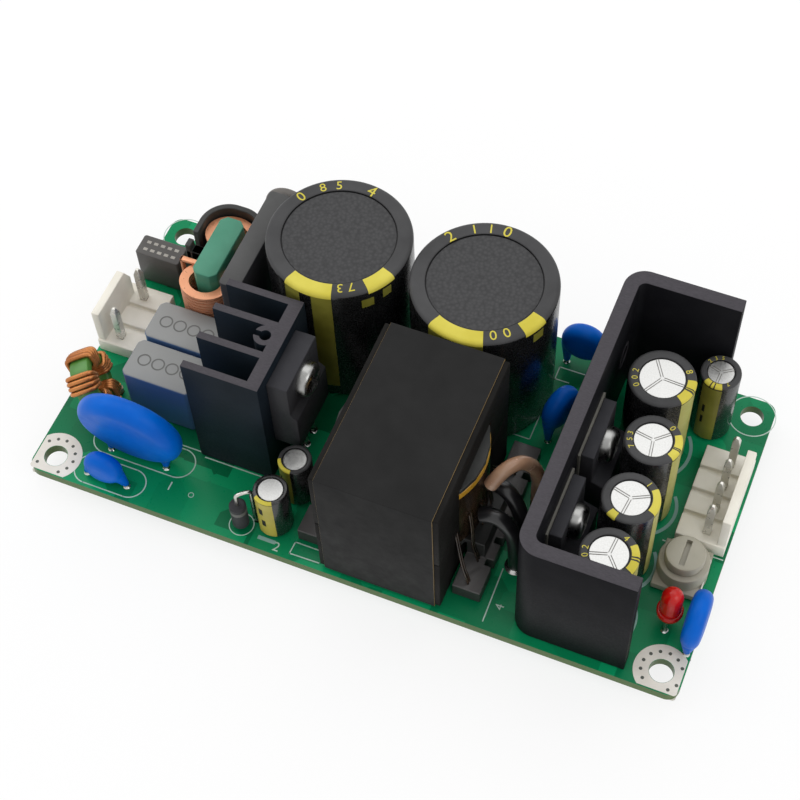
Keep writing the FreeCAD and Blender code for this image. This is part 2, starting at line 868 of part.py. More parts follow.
def flat_wire_coil(name, middle_y, side):
    """One flat wire wound on edge, that starts over one pin and ends in a strip down to the other."""
    sides = 10
    low = float(choke_low + s.choke_yoke + s.holder_gap)
    climb = float(s.coil_pitch) / sides
    outside = oval(float(coil_x), float(middle_y), float(s.coil_reach_x), float(s.coil_reach_y), sides)
    inside = oval(float(coil_x), float(middle_y), float(s.coil_reach_x - s.coil_band),
                  float(s.coil_reach_y - s.coil_band), sides)
    first = 0 if side > 0 else sides // 2
    steps = sides * int(float(s.coil_turns)) - 2
    sections = []
    for i in range(steps + 1):
        near, far = inside[(first + i) % sides], outside[(first + i) % sides]
        z = low + climb * i
        top = z + float(s.coil_wire)
        sections.append([Vector(*near, z), Vector(*far, z), Vector(*far, top), Vector(*near, top)])
    faces = [sections[0], sections[-1]]
    for a, b in zip(sections, sections[1:]):
        faces += [[a[0], b[0], b[3], a[3]], [a[1], b[1], b[2], a[2]]]
        faces += [[a[0], a[1], b[1]], [a[0], b[1], b[0]], [a[3], a[2], b[2]], [a[3], b[2], b[3]]]
    wire = sound([Part.Face(Part.makePolygon(corners + corners[:1])) for corners in faces])
    start = (sections[0][0] + sections[0][1]) / 2
    end = sections[-1][1]
    strip = float(s.coil_strip) / 2
    strip_x = float(coil_x + side * (s.coil_reach_x + s.coil_strip_gap + s.coil_strip / 2))
    strip_y = end.y + side * float(s.coil_wire) / 2
    pin = Lead(name, start.x, start.y, low - float(TOP) + strip, s.pin_half, s.pin_half)
    drop = Lead(name, strip_x, strip_y, end.z + float(s.coil_wire) - float(TOP), strip, s.coil_wire / 2)
    reach = sorted([strip_x, end.x - side * float(s.coil_band) / 2])
    bridge = Part.makeBox(reach[1] - reach[0], float(s.coil_wire), float(s.coil_wire),
                          Vector(reach[0], strip_y - float(s.coil_wire) / 2, end.z))
    LEADS.extend([pin, drop])
    keep(group(name, [wire.multiFuse([bridge, pin.solid(), drop.solid()])]), name)


flat_wire_coil("choke_front_coil", leg_front_y, -1)
flat_wire_coil("choke_rear_coil", leg_rear_y, 1)

# The choke's plastic holder: a foot under the core, a divider between the coils and a half collar.

holder = Body("choke_holder")
divider_y = (leg_front_y + s.coil_reach_y + s.holder_gap, leg_rear_y - s.coil_reach_y - s.holder_gap)
foot_half = s.coil_reach_x - s.coil_band - s.pin_half - s.holder_gap - s.coil_shift
collar_in_x = s.coil_reach_x + s.collar_gap
collar_in_y = s.coil_reach_y + s.collar_gap
collar_left = coil_x - collar_in_x
collar_low = choke_low - s.holder_floor
collar_top = choke_top - s.choke_yoke - s.holder_gap


def collar_arc(reach_x, reach_y):
    """Corners round the rear coil, from its rear right to its left side."""
    straight = reach_x - reach_y
    corners = []
    for degrees in (45, 80, 100, 135, 160, 180):
        side = 1 if degrees < 90 else -1
        turn = math.radians(degrees)
        corners.append((coil_x + side * straight + reach_y * math.cos(turn),
                        leg_rear_y + reach_y * math.sin(turn)))
    return corners


outer_arc = collar_arc(collar_in_x + s.holder_wall, collar_in_y + s.holder_wall)
inner_arc = collar_arc(collar_in_x, collar_in_y)
holder.pad("XY", choke_low - s.holder_floor, choke_low,
           [rectangle(around(station(s.choke_x), 2 * foot_half), (s.choke_front, choke_rear))])
holder.pad("XY", choke_low - s.holder_floor, choke_low,
           [rectangle((collar_left - s.holder_wall, station(s.choke_x)), divider_y)])
holder.pad("XY", collar_low, collar_top,
           [rectangle((collar_left - s.holder_wall, choke_sides[0] - s.holder_gap), divider_y)])
holder.pad("XY", choke_low + s.choke_yoke + s.holder_gap, collar_top,
           [rectangle((collar_left, choke_sides[1] + s.holder_wall), divider_y)])
holder.pad("XY", collar_low, TOP + s.collar_rise,
           [outer_arc + [(collar_left - s.holder_wall, divider_y[0]), (collar_left, divider_y[0])]
            + inner_arc[::-1]])
holder.pocket("XY", choke_low + s.choke_yoke, TOP + s.collar_rise,
              [rectangle((collar_left - s.holder_wall, collar_left),
                         (divider_y[1], divider_y[1] + s.collar_slot))])
keep(holder.item, "choke_holder")


# Bridge rectifier: a flat moulded slab standing on four flat leads.

bridge = Body("bridge_rectifier")
bridge_sides = around(station(s.bridge_x), s.bridge_thickness)
bridge_rear = s.bridge_front + s.bridge_width
bridge_low = TOP + s.bridge_stand
bridge_top = TOP + s.bridge_rise
bridge.pad("YZ", bridge_sides[0], bridge_sides[1],
           [rectangle((s.bridge_front, bridge_rear), (bridge_low, bridge_top))])
bridge.round_edges(s.bridge_bevel, upright, "Chamfer")
keep(bridge.item, "bridge_rectifier")
for i in range(4):
    y = s.bridge_front + s.bridge_width / 2 + s.bridge_pitch * (i - 1.5)
    lead("component_leads", station(s.bridge_x), y, s.bridge_stand, s.wire_half, s.post_half)


# Finned heatsink: one extruded profile of a plate, four fins and a slotted hub for its pin.

sink_back_x = station(s.sink_face_x) - s.sink_plate
fin_lows = [s.sink_front]
for gap in (s.fin_gap_front, s.fin_gap_middle, s.fin_gap_rear):
    fin_lows.append(fin_lows[-1] + s.fin_thickness + gap)
sink_rear = fin_lows[-1] + s.fin_thickness
sink_low = TOP + s.standing_gap
sink_top = TOP + s.sink_rise
comb = [(station(s.sink_face_x), s.sink_front), (station(s.sink_face_x), sink_rear)]
for i in (3, 2, 1, 0):
    fin_low = fin_lows[i]
    fin_high = fin_low + s.fin_thickness
    tip = station(s.sink_face_x) - s.sink_reach
    if i < 3:
        comb.append((sink_back_x, fin_high))
    comb += [(tip, fin_high), (tip, fin_low)]
    if i > 0:
        comb.append((sink_back_x, fin_low))
hub_x = sink_back_x - s.sink_hub_radius / 2
hub_y = fin_lows[2] - 0.9 * s.sink_hub_radius
sink = Body("finned_heatsink")
sink.pad("XY", sink_low, sink_top, [comb])
sink.pad("XY", sink_low, sink_top, [("circle", hub_x, hub_y, s.sink_hub_radius)])
sink.pocket("XY", sink_low, sink_top, [("circle", hub_x, hub_y, s.sink_hub_bore)])
sink.pocket("XY", sink_low, sink_top,
            [rectangle((hub_x - 1.2 * s.sink_hub_radius, hub_x),
                       around(hub_y, s.sink_hub_bore))])


# Power transistor: a fully moulded package with a stepped front, held by one screw.

def package(name, face_x, y, rise, thin, thick, direction=1):
    """A moulded package whose back lies on the face at face_x, with three leads under it."""
    top = TOP + rise
    low = top - s.package_height
    ledge = top - s.package_upper
    body = Body(name)
    body.pad("XZ", y - s.package_width / 2, y + s.package_width / 2,
             [[(face_x, low), (face_x + thick, low), (face_x + thick, ledge - s.package_step),
               (face_x + thin, ledge), (face_x + thin, top), (face_x, top)]])
    hole = s.screw_radius + s.screw_clearance
    body.pocket("YZ", face_x, face_x + thin, [regular(y, top - s.package_screw_drop, hole, 16)])
    lead_x = face_x + thick / 2
    for i in (-1, 0, 1):
        lead("component_leads", lead_x, y + s.package_pitch * i, low - TOP, s.wire_half, s.pin_half)
    return body


transistor = package("power_transistor", station(s.sink_face_x), s.transistor_y, s.transistor_rise,
                     s.transistor_thin, s.transistor_thick)
keep(transistor.item, "power_transistor")
transistor_screw_z = TOP + s.transistor_rise - s.package_screw_drop
sink.pocket("YZ", sink_back_x, station(s.sink_face_x),
            [regular(s.transistor_y, transistor_screw_z, s.screw_radius + s.screw_clearance, 16)])
keep(sink.item, "finned_heatsink")
lead("heatsink_pins", hub_x, hub_y, s.sink_pin_rise, s.sink_pin_half)


def pan_screw(face_x, y, z, reach):
    """A pan head screw that enters along -X, with a cross cut in its head."""
    head, radius = s.screw_head.value, s.screw_head_radius.value
    shank = s.screw_radius.value
    crown = radius * 0.7
    screw = turned([(shank, -float(reach)), (shank, 0), (radius, 0), (radius, head / 2), (crown, head)], 16)
    slot = s.screw_slot.value
    low = head / 2
    cross = Part.makeBox(slot, 2 * shank, head, Vector(-slot / 2, -shank, low)).fuse(
        Part.makeBox(2 * shank, slot, head, Vector(-shank, -slot / 2, low)))
    screw = screw.cut(cross)
    screw.rotate(Vector(0, 0, 0), Vector(0, 1, 0), 90)
    screw.translate(Vector(float(face_x), float(y), float(z)))
    return screw


transistor_screw = group("transistor_screw", [pan_screw(
    station(s.sink_face_x) + s.transistor_thin, s.transistor_y, transistor_screw_z,
    s.transistor_thin + s.sink_plate - s.screw_short)])
keep(transistor_screw, "transistor_screw")


# Electrolytic capacitors: a sleeved can with a bevelled, rimmed and recessed top.

def can(name, x, y, radius, rise, top_edge, pitch, half, sides):
    """The top edge is the width of its rim, the bevel outside it and the depth of the recess inside."""
    rim, bevel, recess = top_edge
    low = TOP + s.standing_gap
    top = TOP + rise
    body = Body(name)
    body.pad("XY", low, top, [regular(x, y, radius, sides)])
    body.round_edges(bevel, lambda edge: at_height(edge, top), "Chamfer")
    body.pocket("XY", top - recess, top, [regular(x, y, radius - rim, sides)])
    keep(body.item, name)
    for side in (-1, 1):
        lead("component_leads", x + side * pitch / 2, y, s.standing_gap, half)


bulk_edge = (s.bulk_rim, s.bulk_bevel, s.bulk_recess)
can_edge = (s.can_rim, s.can_bevel, s.can_recess)
for name, x in (("bulk_capacitor_left", station(s.bulk_left_x)),
                ("bulk_capacitor_right", station(s.bulk_left_x) + s.bulk_spacing)):
    can(name, x, s.bulk_y, s.bulk_radius, s.bulk_rise, bulk_edge, s.bulk_pitch, s.post_half, 36)
can("start_capacitor_front", station(s.start_front_x), s.start_front_y, s.start_front_radius,
    s.start_front_rise, can_edge, s.start_pitch, s.wire_half, 20)
can("start_capacitor_rear", station(s.start_rear_x), s.start_rear_y, s.start_rear_radius,
    s.start_rear_rise, can_edge, s.start_pitch, s.wire_half, 20)
can("output_capacitor_rear", station(s.output_a_x), s.output_a_y, s.output_a_radius, s.output_rise,
    can_edge, s.output_a_pitch, s.wire_half, 24)
for word, y in (("centre", s.output_b_y), ("front", s.output_c_y), ("corner", s.output_d_y)):
    can("output_capacitor_" + word, station(s.output_b_x), y, s.output_radius, s.output_rise,
        can_edge, s.output_pitch, s.wire_half, 24)
can("filter_capacitor", station(s.filter_x), s.filter_y, s.filter_radius, s.filter_rise,
    can_edge, s.filter_pitch, s.wire_half, 20)


# Transformer: two core halves round a bobbin with windings, bound with tape.

core_x = around(station(s.transformer_x), s.core_width)
core_y = around(s.transformer_y, s.core_length)
core_low = TOP + s.core_foot
core_mid = core_low + s.core_half
core_top = core_mid + s.core_gap + s.core_half


def core_half(name, low, high, window_low, window_high):
    """A yoke with two curved outer legs and a round centre post."""
    x, y = station(s.transformer_x), s.transformer_y
    shell = block(name + "_block", core_x, core_y, (low, high))
    window = drum(name + "_window", x, y, window_low, s.core_window, window_high - window_low, 24)
    post = drum(name + "_post", x, y, window_low, s.core_post, window_high - window_low, 16)
    return keep(joined(name, [less(name + "_legs", shell, window), post]), name)


core_half("transformer_lower_core", core_low, core_mid, core_low + s.core_yoke, core_mid)
core_half("transformer_upper_core", core_mid + s.core_gap, core_top, core_mid + s.core_gap,
          core_top - s.core_yoke)

tape_x = (core_x[0] + s.tape_margin, core_x[1] - s.tape_margin)
tape_outer = block("core_tape_outer", tape_x, (core_y[0] - s.tape_thickness, core_y[1] + s.tape_thickness),
                   (core_low - s.tape_thickness, core_top + s.tape_thickness))
tape_inner = block("core_tape_inner", tape_x, core_y, (core_low, core_top))
keep(less("core_tape", tape_outer, tape_inner), "core_tape")

# The bobbin: a tube with two flanges, and a rail of pins on each open side of the core.

transformer_x = station(s.transformer_x)
window_low = core_low + s.core_yoke
window_high = core_top - s.core_yoke
tube_bore = s.core_post + s.bobbin_gap
tube_outer = tube_bore + s.bobbin_wall
flange_radius = s.core_window - s.bobbin_gap
flange_low = window_low + s.bobbin_gap
flange_high = window_high - s.bobbin_gap
bobbin_parts = [
    drum("bobbin_tube", transformer_x, s.transformer_y, flange_low, tube_outer, flange_high - flange_low, 16),
    drum("bobbin_lower_flange", transformer_x, s.transformer_y, flange_low,
         flange_radius, s.bobbin_flange, 24),
    drum("bobbin_upper_flange", transformer_x, s.transformer_y, flange_high - s.bobbin_flange,
         flange_radius, s.bobbin_flange, 24),
]
rail_y = around(s.transformer_y + s.rail_shift, s.rail_length)
web_y = around(s.transformer_y, s.web_width)
rail_spans = []
bobbin_cuts = []
for word, side in (("left", -1), ("right", 1)):
    core_side = transformer_x + side * s.core_width / 2
    near = core_side + side * s.rail_out
    far = near + side * s.rail_width
    span = (far, near) if side < 0 else (near, far)
    rail_spans.append(span)
    bobbin_parts.append(block("bobbin_%s_rail" % word, span, rail_y,
                              (TOP + s.standing_gap, TOP + s.rail_rise)))
    notch_middle = far - side * s.rail_notch / 2
    for i in range(1, int(float(s.rail_pins))):
        y = s.transformer_y + s.rail_shift + s.rail_pitch * (i - float(s.rail_pins) / 2)
        bobbin_cuts.append(block("bobbin_%s_notch_%d" % (word, i), around(notch_middle, s.rail_notch),
                                 around(y, s.rail_notch), (TOP + s.standing_gap, TOP + s.rail_rise)))
    inside = transformer_x + side * s.web_inside
    outside = near + side * s.web_out
    post_span = (outside, near) if side < 0 else (near, outside)
    web_span = (outside, inside) if side < 0 else (inside, outside)
    bobbin_parts.append(block("bobbin_%s_post" % word, post_span, web_y,
                              (TOP + s.rail_rise / 2, flange_low + s.bobbin_flange)))
    bobbin_parts.append(block("bobbin_%s_web" % word, web_span, web_y,
                              (flange_low, flange_low + s.bobbin_flange)))
bobbin_cuts.append(drum("bobbin_bore", transformer_x, s.transformer_y, flange_low, tube_bore,
                        flange_high - flange_low, 16))
keep(less("transformer_bobbin", joined("bobbin_whole", bobbin_parts), joined("bobbin_cuts", bobbin_cuts)),
     "transformer_bobbin")

for span in rail_spans:
    pin_x = (span[0] + span[1]) / 2
    for i in range(int(float(s.rail_pins))):
        y = s.transformer_y + s.rail_shift + s.rail_pitch * (i - (float(s.rail_pins) - 1) / 2)
        lead("transformer_pins", pin_x, y, s.standing_gap, s.pin_half)

winding_low = flange_low + s.bobbin_flange
winding_high = flange_high - s.bobbin_flange
winding_in = tube_outer + s.bobbin_gap
winding_out = winding_in + s.winding_reach


def wound(name, inner, outer, sides):
    """A layer round the bobbin's tube, between its flanges."""
    outside = drum(name + "_outside", transformer_x, s.transformer_y, winding_low, outer,
                   winding_high - winding_low, sides)
    inside = drum(name + "_inside", transformer_x, s.transformer_y, winding_low, inner,
                  winding_high - winding_low, sides)
    keep(less(name, outside, inside), name)


wound("transformer_winding", winding_in, winding_out, 24)
wound("winding_tape", winding_out, winding_out + s.winding_tape, 24)


# Sleeved leads: tubes that bend from the winding down to the board.

def sleeve(points, radius, sides=6):
    """A many-sided tube whose corners are cut once, with a mitre at each bend."""
    route = [points[0]]
    for before, after in zip(points, points[1:]):
        route += [before * 0.75 + after * 0.25, before * 0.25 + after * 0.75]
    route.append(points[-1])
    runs = [(after - before).normalize() for before, after in zip(route, route[1:])]
    across = Vector(1, 0, 0) if abs(runs[0].z) > 0.9 else Vector(0, 0, 1)
    side = runs[0].cross(across).normalize()
    up = side.cross(runs[0])
    turns = [2 * math.pi * (i + 0.5) / sides for i in range(sides)]
    ring = [route[0] + side * (radius * math.cos(turn)) + up * (radius * math.sin(turn)) for turn in turns]
    rings = [ring]
    for i in range(1, len(route)):
        onward = runs[min(i, len(runs) - 1)]
        mitre = (runs[i - 1] + onward).normalize()
        ring = [p + runs[i - 1] * ((route[i] - p).dot(mitre) / runs[i - 1].dot(mitre)) for p in ring]
        rings.append(ring)
    return stack(rings)


def lead_route(shares, rise):
    """Turns shares of the leads' reach and rise, from the winding's side and the board, into places."""
    start = float(transformer_x + winding_out + s.winding_tape)
    reach = float(s.lead_reach)
    return [Vector(start + reach * x, float(s.transformer_y) + reach * y, float(TOP) + float(rise) * z)
            for x, y, z in shares]


clear_route = lead_route([(0.14, -0.03, 0.84), (0.44, 0.27, 1.0), (0.88, 0.78, 0.9), (1.0, 1.0, 0.45),
                          (1.0, 1.0, 0.02)], s.clear_rise)
black_routes = [
    lead_route([(0.1, 0.31, 0.94), (0.54, 0.22, 1.0), (1.0, -0.03, 0.63), (1.0, -0.03, 0.03)],
               s.black_rise),
    lead_route([(0.1, -0.49, 0.86), (0.54, -0.46, 0.92), (1.0, -0.51, 0.57), (1.0, -0.51, 0.03)],
               s.black_rise),
]
clear_lead = group("clear_sleeved_lead", [sleeve(clear_route, s.clear_sleeve.value)])
keep(clear_lead, "clear_sleeved_lead")
black_leads = group("black_sleeved_leads", [sleeve(route, s.black_sleeve.value) for route in black_routes])
keep(black_leads, "black_sleeved_leads")
for route in [clear_route] + black_routes:
    lead("component_leads", route[-1].x, route[-1].y, route[-1].z - float(TOP), s.pin_half)


# Upright diode: its upper wire loops over and comes down beside it.

diode_x = station(s.diode_x)
diode_low = TOP + s.diode_low
diode_top = diode_low + s.diode_length
diode = drum("upright_diode", diode_x, s.diode_y, diode_low, s.diode_radius, s.diode_length, 16)
keep(diode, "upright_diode")
lead("component_leads", diode_x, s.diode_y, s.diode_low, s.wire_half)
foot_x = float(diode_x + s.diode_span_x)
foot_y = float(s.diode_y + s.diode_span_y)
loop_top = float(diode_top + s.diode_loop)
loop_points = [Vector(float(diode_x), float(s.diode_y), float(diode_top)),
               Vector(float(diode_x), float(s.diode_y), loop_top),
               Vector(foot_x, foot_y, loop_top),
               Vector(foot_x, foot_y, float(TOP + s.standing_gap))]
keep(group("diode_wire", [sleeve(loop_points, s.wire_half.value, 4)]), "diode_wire")
lead("component_leads", foot_x, foot_y, s.standing_gap, s.wire_half)


# Channel heatsink: a folded plate open towards the output end, with the rectifiers on its web.

channel_right = station(s.channel_x) + s.channel_depth
channel_rear = s.channel_front + s.channel_width
web_face = station(s.channel_x) + s.channel_wall
channel = Body("channel_heatsink")
channel.pad("XY", TOP + s.standing_gap, TOP + s.channel_rise,
            [[(station(s.channel_x), s.channel_front), (channel_right, s.channel_front),
              (channel_right, s.channel_front + s.channel_wall), (web_face, s.channel_front + s.channel_wall),
              (web_face, channel_rear - s.channel_wall), (channel_right, channel_rear - s.channel_wall),
              (channel_right, channel_rear), (station(s.channel_x), channel_rear)]])


def near_x(edge, x):
    return upright(edge) and abs(edge.Vertexes[0].Point.x - float(x)) < 1e-3


channel.round_edges(s.channel_outer, lambda edge: near_x(edge, station(s.channel_x)))
channel.round_edges(s.channel_inner, lambda edge: near_x(edge, web_face))
rectifier_ys = (s.rectifier_rear_y, s.rectifier_front_y)
rectifier_screw_z = TOP + s.rectifier_rise - s.package_screw_drop
channel.pocket("YZ", station(s.channel_x), web_face,
               [regular(y, rectifier_screw_z, s.screw_radius + s.screw_clearance, 16) for y in rectifier_ys]
               + [("circle", s.channel_hole_y, TOP + s.channel_hole_rise, s.channel_hole)])
keep(channel.item, "channel_heatsink")
for y in (s.channel_front + 3 * s.channel_wall, channel_rear - 3 * s.channel_wall):
    lead("heatsink_pins", station(s.channel_x) + s.channel_wall / 2, y, s.standing_gap, s.sink_pin_half)

pad_low = TOP + s.rectifier_rise - s.package_height - s.pad_margin
pad_high = TOP + s.rectifier_rise + s.pad_margin
pad_face = web_face + s.pad_thickness
for word, y in zip(("rear", "front"), rectifier_ys):
    pad = Body("thermal_pad_" + word)
    pad.pad("YZ", web_face, pad_face,
            [rectangle(around(y, s.package_width + 2 * s.pad_margin), (pad_low, pad_high))])
    pad.pocket("YZ", web_face, pad_face,
               [regular(y, rectifier_screw_z, s.screw_radius + s.screw_clearance, 16)])
    keep(pad.item, "thermal_pad_" + word)
    rectifier = package("output_rectifier_" + word, pad_face, y, s.rectifier_rise, s.rectifier_thin,
                        s.rectifier_thick)
    keep(rectifier.item, "output_rectifier_" + word)
rectifier_screws = group("rectifier_screws", [
    pan_screw(pad_face + s.rectifier_thin, y, rectifier_screw_z,
              s.rectifier_thin + s.pad_thickness + s.channel_wall - s.screw_short) for y in rectifier_ys])
keep(rectifier_screws, "rectifier_screws")


# Trimmer: a round body on a base plate, with a slotted rotor that turns.

trimmer_low = TOP + s.trimmer_body_low
trimmer_top = TOP + s.trimmer_body_rise
well_floor = trimmer_top - s.trimmer_sink
trimmer_parts = [
    drum("trimmer_round", station(s.trimmer_x), s.trimmer_y, trimmer_low, s.trimmer_radius,
         trimmer_top - trimmer_low, 24),
    block("trimmer_plate", around(station(s.trimmer_x), s.trimmer_plate_x),
          around(s.trimmer_y, s.trimmer_plate_y), (trimmer_low, trimmer_low + s.trimmer_base_rise)),
]
trimmer_well = rod("trimmer_well", station(s.trimmer_x), s.trimmer_y, well_floor,
                   s.trimmer_stem + s.trimmer_gap, s.trimmer_sink)
keep(less("trimmer_body", joined("trimmer_whole", trimmer_parts), trimmer_well), "trimmer_body")

rotor_low = trimmer_top + s.trimmer_gap
rotor_top = TOP + s.trimmer_rotor_rise
rotor = Body("trimmer_rotor")
rotor.pad("XY", rotor_low, rotor_top,
          [regular(station(s.trimmer_x), s.trimmer_y, s.trimmer_rotor_radius, 24)])
rotor.pad("XY", well_floor + s.trimmer_gap, rotor_low,
          [("circle", station(s.trimmer_x), s.trimmer_y, s.trimmer_stem)])
rotor.pocket("XY", rotor_top - s.trimmer_slot, rotor_top,
             [rectangle(around(station(s.trimmer_x), s.trimmer_slot),
                        around(s.trimmer_y, 1.5 * s.trimmer_rotor_radius))])
keep(rotor.item, "trimmer_rotor")
for column, row in ((0, -1), (-1, 1), (1, 1)):
    lead("trimmer_terminals", station(s.trimmer_x) + column * s.trimmer_pitch,
         s.trimmer_y + row * s.trimmer_row, s.trimmer_body_low, s.wire_half)


# Light emitting diode: a domed lens on a flange, on two square legs.

lens = [(s.led_flange, s.led_low), (s.led_flange, s.led_flange_rise), (s.led_radius, s.led_flange_rise)]
for degrees in (0, 30, 60, 83):
    turn = math.radians(degrees)
    lens.append((s.led_radius * math.cos(turn), s.led_rise - s.led_radius * (1 - math.sin(turn))))
indicator = turned([(float(radius), float(rise)) for radius, rise in lens], 16)
indicator.translate(Vector(float(station(s.led_x)), float(s.led_y), float(TOP)))
keep(group("indicator_led", [indicator]), "indicator_led")
wires(station(s.led_x), s.led_y, s.led_pitch, s.led_low, along="y")


# Underside: a control chip, an isolating coupler and chip resistors, soldered to the copper.

def chip_with_legs(x, y, length, width, height, count, pitch):
    """A moulded body with a row of short legs along each side, below the board."""
    leg, foot = s.chip_leg.value, s.chip_foot.value
    gap = s.chip_gap.value
    parts = [Part.makeBox(length, width, height, Vector(x - length / 2, y - width / 2, -height - gap))]
    for i in range(count):
        leg_x = x + pitch * (i - (count - 1) / 2) - foot / 2
        for leg_y in (y - width / 2 - leg, y + width / 2):
            parts.append(Part.makeBox(foot, leg, height / 2 + gap, Vector(leg_x, leg_y, -height / 2 - gap)))
    return parts[0].multiFuse(parts[1:]).removeSplitter()


control_chip = group("control_chip", [chip_with_legs(
    float(transformer_x - s.chip_left), float(s.transformer_y - s.chip_drop), s.chip_length.value,
    s.chip_width.value, s.chip_height.value, 4, s.chip_pitch.value)])
keep(control_chip, "control_chip")
optocoupler = group("optocoupler", [chip_with_legs(
    float(transformer_x + s.coupler_right), s.coupler_y.value, s.coupler_length.value,
    s.coupler_width.value, s.coupler_height.value, 2, 2 * s.chip_pitch.value)])
keep(optocoupler, "optocoupler")


def chip_resistor(x, y):
    length, width, height = s.resistor_length.value, s.resistor_width.value, s.resistor_height.value
    return Part.makeBox(length, width, height, Vector(float(x) - length / 2, float(y) - width / 2, -height))


resistor_places = [(transformer_x - s.chip_left + column * s.resistor_column,
                    s.transformer_y - s.chip_drop + row * s.resistor_row)
                   for column, row in ((0.5, -2.5), (0.5, -1.7), (1.5, -0.7), (1.5, 0.3))]
resistor_places += [(station(s.output_b_x) + column * s.resistor_column, y) for column, y in (
    (0, (s.output_b_y + s.output_c_y) / 2), (0, (s.output_c_y + s.output_d_y) / 2),
    (1, s.output_b_y - s.resistor_row / 2), (1, s.output_b_y + s.resistor_row / 2))]
chip_resistors = group("chip_resistors", [chip_resistor(x, y) for x, y in resistor_places])
keep(chip_resistors, "chip_resistors")


# Board: a rounded plate with four mounting holes and a bore for every lead.

board = Body("board_plate")
board.pad("XY", 0, s.board_thickness, [rectangle((-BOARD_LENGTH / 2, BOARD_LENGTH / 2),
                                                 (-s.board_width / 2, s.board_width / 2))])
board.round_edges(s.board_corner, upright)
board.pocket("XY", 0, s.board_thickness,
             [("circle", u * HOLE_SPAN_LONG / 2, v * HOLE_SPAN_SHORT / 2, s.hole_radius)
              for u in (-1, 1) for v in (-1, 1)])
bores = group("lead_bores", [item.bore() for item in LEADS])
keep(less("circuit_board", board.item, bores), "circuit_board")

# Leads with their solder, by the piece that they belong to.

made = {name for name, item in NODES}
for node in sorted({item.node for item in LEADS} - made):
    keep(group(node, [item.solid() for item in LEADS if item.node == node]), node)

doc.recompute()

faults = ["%s: %s" % (item.Name, item.State) for item in doc.Objects
          if "Invalid" in item.State or "Error" in item.State]
for name, item in NODES:
    shape = item.Shape
    if shape.isNull() or not shape.isValid():
        faults.append(name + ": its shape is not sound")
if faults:
    raise RuntimeError("; ".join(faults))

os.makedirs("parts", exist_ok=True)
for name, item in NODES:
    item.Shape.exportStep("parts/%s.step" % name)
    print("%-28s %3d solids %9.1f mm3" % (name, len(item.Shape.Solids), item.Shape.Volume))
print(len(NODES), "pieces,", len(LEADS), "leads")
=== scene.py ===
import json
import math
import bmesh
import bpy
from mathutils import Matrix, Vector


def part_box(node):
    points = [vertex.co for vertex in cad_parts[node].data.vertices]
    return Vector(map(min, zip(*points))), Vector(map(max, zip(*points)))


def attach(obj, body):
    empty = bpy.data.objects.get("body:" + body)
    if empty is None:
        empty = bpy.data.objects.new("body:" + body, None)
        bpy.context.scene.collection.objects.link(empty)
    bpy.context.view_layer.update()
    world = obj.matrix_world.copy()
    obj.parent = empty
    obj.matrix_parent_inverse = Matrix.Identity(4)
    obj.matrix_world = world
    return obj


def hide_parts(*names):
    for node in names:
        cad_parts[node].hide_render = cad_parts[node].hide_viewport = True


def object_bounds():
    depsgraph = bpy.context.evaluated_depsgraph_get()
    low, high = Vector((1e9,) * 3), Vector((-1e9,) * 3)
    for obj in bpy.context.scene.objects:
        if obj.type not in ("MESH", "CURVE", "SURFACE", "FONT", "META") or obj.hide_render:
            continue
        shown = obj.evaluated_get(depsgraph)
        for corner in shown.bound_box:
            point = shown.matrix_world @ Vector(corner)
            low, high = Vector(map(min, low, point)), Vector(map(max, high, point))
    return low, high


# An open frame power supply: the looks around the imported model.
# Lengths are written in millimetres and made metres when a piece is finished.

MM = 0.001

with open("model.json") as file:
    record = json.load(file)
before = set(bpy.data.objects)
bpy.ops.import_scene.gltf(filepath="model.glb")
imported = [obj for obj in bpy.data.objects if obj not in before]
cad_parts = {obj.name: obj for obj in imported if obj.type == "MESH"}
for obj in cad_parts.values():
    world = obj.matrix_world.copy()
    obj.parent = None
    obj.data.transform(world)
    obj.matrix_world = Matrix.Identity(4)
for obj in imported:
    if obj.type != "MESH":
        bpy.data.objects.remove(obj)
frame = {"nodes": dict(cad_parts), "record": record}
nodes = frame["nodes"]
cad_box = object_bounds()
SLOT_OF = {piece["node"]: piece["material_slot"] for piece in frame["record"]["subparts"]}
BODY_OF = {node: body for body, names in frame["record"]["behaviour"]["bodies"].items() for node in names}


# Finishes. Colours are written as they look on the object, from 0 to 255.

FINISHES = {}


def tone(*levels):
    """The linear colour of levels of red, green and blue."""
    shares = [level / 255 for level in levels]
    return [((share + 0.055) / 1.055) ** 2.4 if share > 0.04 else share / 12.92 for share in shares] + [1.0]


def feed(tree, socket, value):
    """Gives a socket a value, or another node's output as its source."""
    if isinstance(value, bpy.types.NodeSocket):
        tree.links.new(value, socket)
    else:
        socket.default_value = value


def shader_node(tree, kind, inputs=(), **settings):
    """A new node, with a value or a source for each of its inputs."""
    node = tree.nodes.new("ShaderNode" + kind)
    for name, value in settings.items():
        setattr(node, name, value)
    for name, value in dict(inputs).items():
        feed(tree, node.inputs[name], value)
    return node


